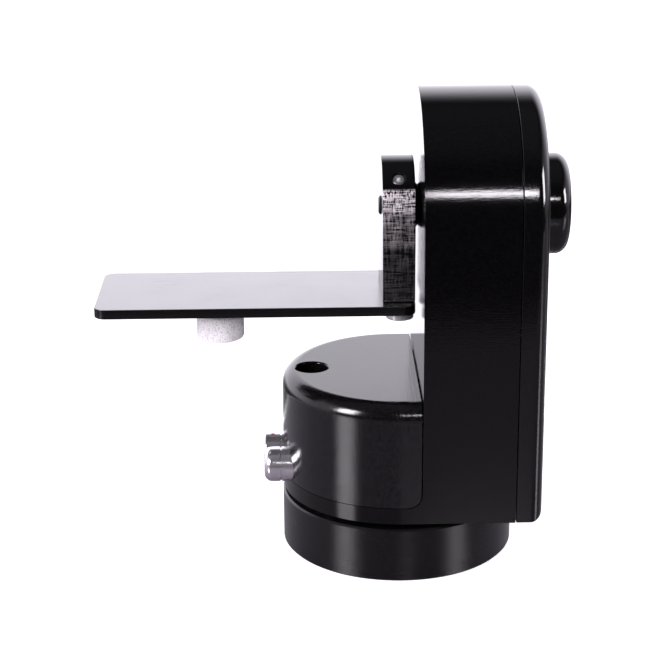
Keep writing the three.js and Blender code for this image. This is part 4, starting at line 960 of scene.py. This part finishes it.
camera_data = bpy.data.cameras.new("camera")
camera = bpy.data.objects.new("camera", camera_data)
bpy.context.scene.collection.objects.link(camera)
yaw, pitch, roll = 0.016655, -0.323154, -0.007351
camera_x, camera_y, camera_z = pan_x - 0.032537, -0.600737, 0.277498
forward = Vector((math.sin(yaw) * math.cos(pitch), math.cos(yaw) * math.cos(pitch), math.sin(pitch)))
level = Vector((math.cos(yaw), -math.sin(yaw), 0))
upright = level.cross(forward)
right = math.cos(roll) * level + math.sin(roll) * upright
up = math.cos(roll) * upright - math.sin(roll) * level
turn = Matrix((right, up, -forward)).transposed().to_4x4()
camera.matrix_world = Matrix.Translation((camera_x, camera_y, camera_z)) @ turn
photo_px, focal_px, shift_px = 665, 1844.47, (-0.655, -3.166)
camera_data.lens = camera_data.sensor_width * focal_px / photo_px
camera_data.shift_x = -shift_px[0] / photo_px
camera_data.shift_y = shift_px[1] / photo_px
camera_data.clip_start = 0.01
bpy.context.scene.camera = camera

# STUDIO
# A white table, a strip of light above the camera and a soft box on each side. In reflections the table ends
# behind the head in a bright edge, with a dark room beyond it, a pale sweep above and a faint glow overhead.
# The camera sees plain white instead.


def soft_box(name, bearing, rise, distance, width, height, radiance):
    """A rectangular light; its bearing turns from the camera's side towards the right, its rise upwards."""
    data = bpy.data.lights.new(name, "AREA")
    data.shape = "RECTANGLE"
    data.size, data.size_y = width, height
    data.energy = radiance * width * height * math.pi
    data.color = (0.98, 0.93, 1)
    lamp = bpy.data.objects.new(name, data)
    bpy.context.scene.collection.objects.link(lamp)
    target = Vector((pan_x, 0, 0.09))
    turn, tip = math.radians(bearing), math.radians(rise)
    away = Vector((math.sin(turn) * math.cos(tip), -math.cos(turn) * math.cos(tip), math.sin(tip)))
    lamp.location = target + distance * away
    lamp.rotation_euler = (-away).to_track_quat("-Z", "Y").to_euler()
    lamp.visible_camera = False
    return lamp


soft_box("front_strip", 7.8, 24.7, 1.1, 0.13, 0.095, 33)
soft_box("left_box", -54, 21, 1.15, 0.33, 0.48, 30)
soft_box("right_box", 58, 22, 1.15, 0.32, 0.5, 19.5)

table_front, table_back, edge_half = -0.31, 0.112, 0.002
table_reach, table_side, floor_drop = 6, 4, 0.0002
floor_corners = [(-table_side, table_front, 0), (table_side, table_front, 0)]
floor_corners += [(table_side, table_reach, 0), (-table_side, table_reach, 0)]
floor = make_piece("floor", floor_corners, [[0, 1, 2, 3]])
floor.location.z = -floor_drop
floor_look, nodes, links, shader = new_material("white_table")
path = nodes.new("ShaderNodeLightPath").outputs
white, reflected = (0.9, 0.9, 0.9, 1), (0.19, 0.17, 0.2, 1)
links.new(blend(nodes, links, path["Is Glossy Ray"], white, reflected), shader.inputs["Base Color"])
gloss = map_range(nodes, links, path["Is Camera Ray"], 0, 1, 0.2, 1)
links.new(gloss, shader.inputs["Roughness"])
shader.inputs["Emission Color"].default_value = (1, 1, 1, 1)
shader.inputs["IOR"].default_value = 1.5
across = split(nodes, links, nodes.new("ShaderNodeNewGeometry").outputs["Position"])
at_edge = math_node(nodes, links, "COMPARE", across["Y"], table_back - edge_half, edge_half)
edge_strength, seen_strength = 3, 0.6
edge_glow = math_node(nodes, links, "MULTIPLY", at_edge, edge_strength)
table_glow = blend(nodes, links, path["Is Camera Ray"], edge_glow, seen_strength, "FLOAT")
links.new(table_glow, shader.inputs["Emission Strength"])
beyond = math_node(nodes, links, "GREATER_THAN", across["Y"], table_back)
unseen = math_node(nodes, links, "SUBTRACT", beyond, path["Is Camera Ray"], clamp=True)
either = nodes.new("ShaderNodeMixShader")
links.new(unseen, either.inputs[0])
links.new(shader.outputs[0], either.inputs[1])
links.new(nodes.new("ShaderNodeBsdfTransparent").outputs[0], either.inputs[2])
links.new(either.outputs[0], nodes["Material Output"].inputs["Surface"])
floor.data.materials.append(floor_look)

world = bpy.data.worlds.new("studio")
bpy.context.scene.world = world
world.use_nodes = True
nodes, links = world.node_tree.nodes, world.node_tree.links
direction = split(nodes, links, nodes.new("ShaderNodeTexCoord").outputs["Generated"])
backwards = map_range(nodes, links, direction["Y"], -1, 1)
sweep_steps = ((0, 0), (0.22, 0), (0.36, 0.35), (0.55, 0.45), (0.82, 1))
under_table_steps = ((0, 0), (0.8, 0.03), (0.9, 0.04), (0.935, 0.1), (0.955, 0.3), (0.975, 0.8))
sweep = levels(nodes, links, backwards, sweep_steps)
under_table = levels(nodes, links, backwards, under_table_steps)
above_table = map_range(nodes, links, direction["Z"], -0.12, 0)
around = blend(nodes, links, above_table, under_table, sweep)
fade = map_range(nodes, links, direction["Z"], 0.43, 0.81, 2.03, 0, "SMOOTHSTEP")
overhead = map_range(nodes, links, direction["Z"], 0.7, 1, 0.04, 0.12, "SMOOTHSTEP")
glow = math_node(nodes, links, "MULTIPLY_ADD", around, fade, overhead)
seen = nodes.new("ShaderNodeLightPath").outputs["Is Camera Ray"]
background = nodes["Background"]
links.new(blend(nodes, links, seen, glow, 1, "FLOAT"), background.inputs["Strength"])
links.new(blend(nodes, links, seen, (0.96, 0.93, 1.02, 1), (1, 1, 1, 1)), background.inputs["Color"])
bpy.context.scene.view_settings.view_transform = "Standard"
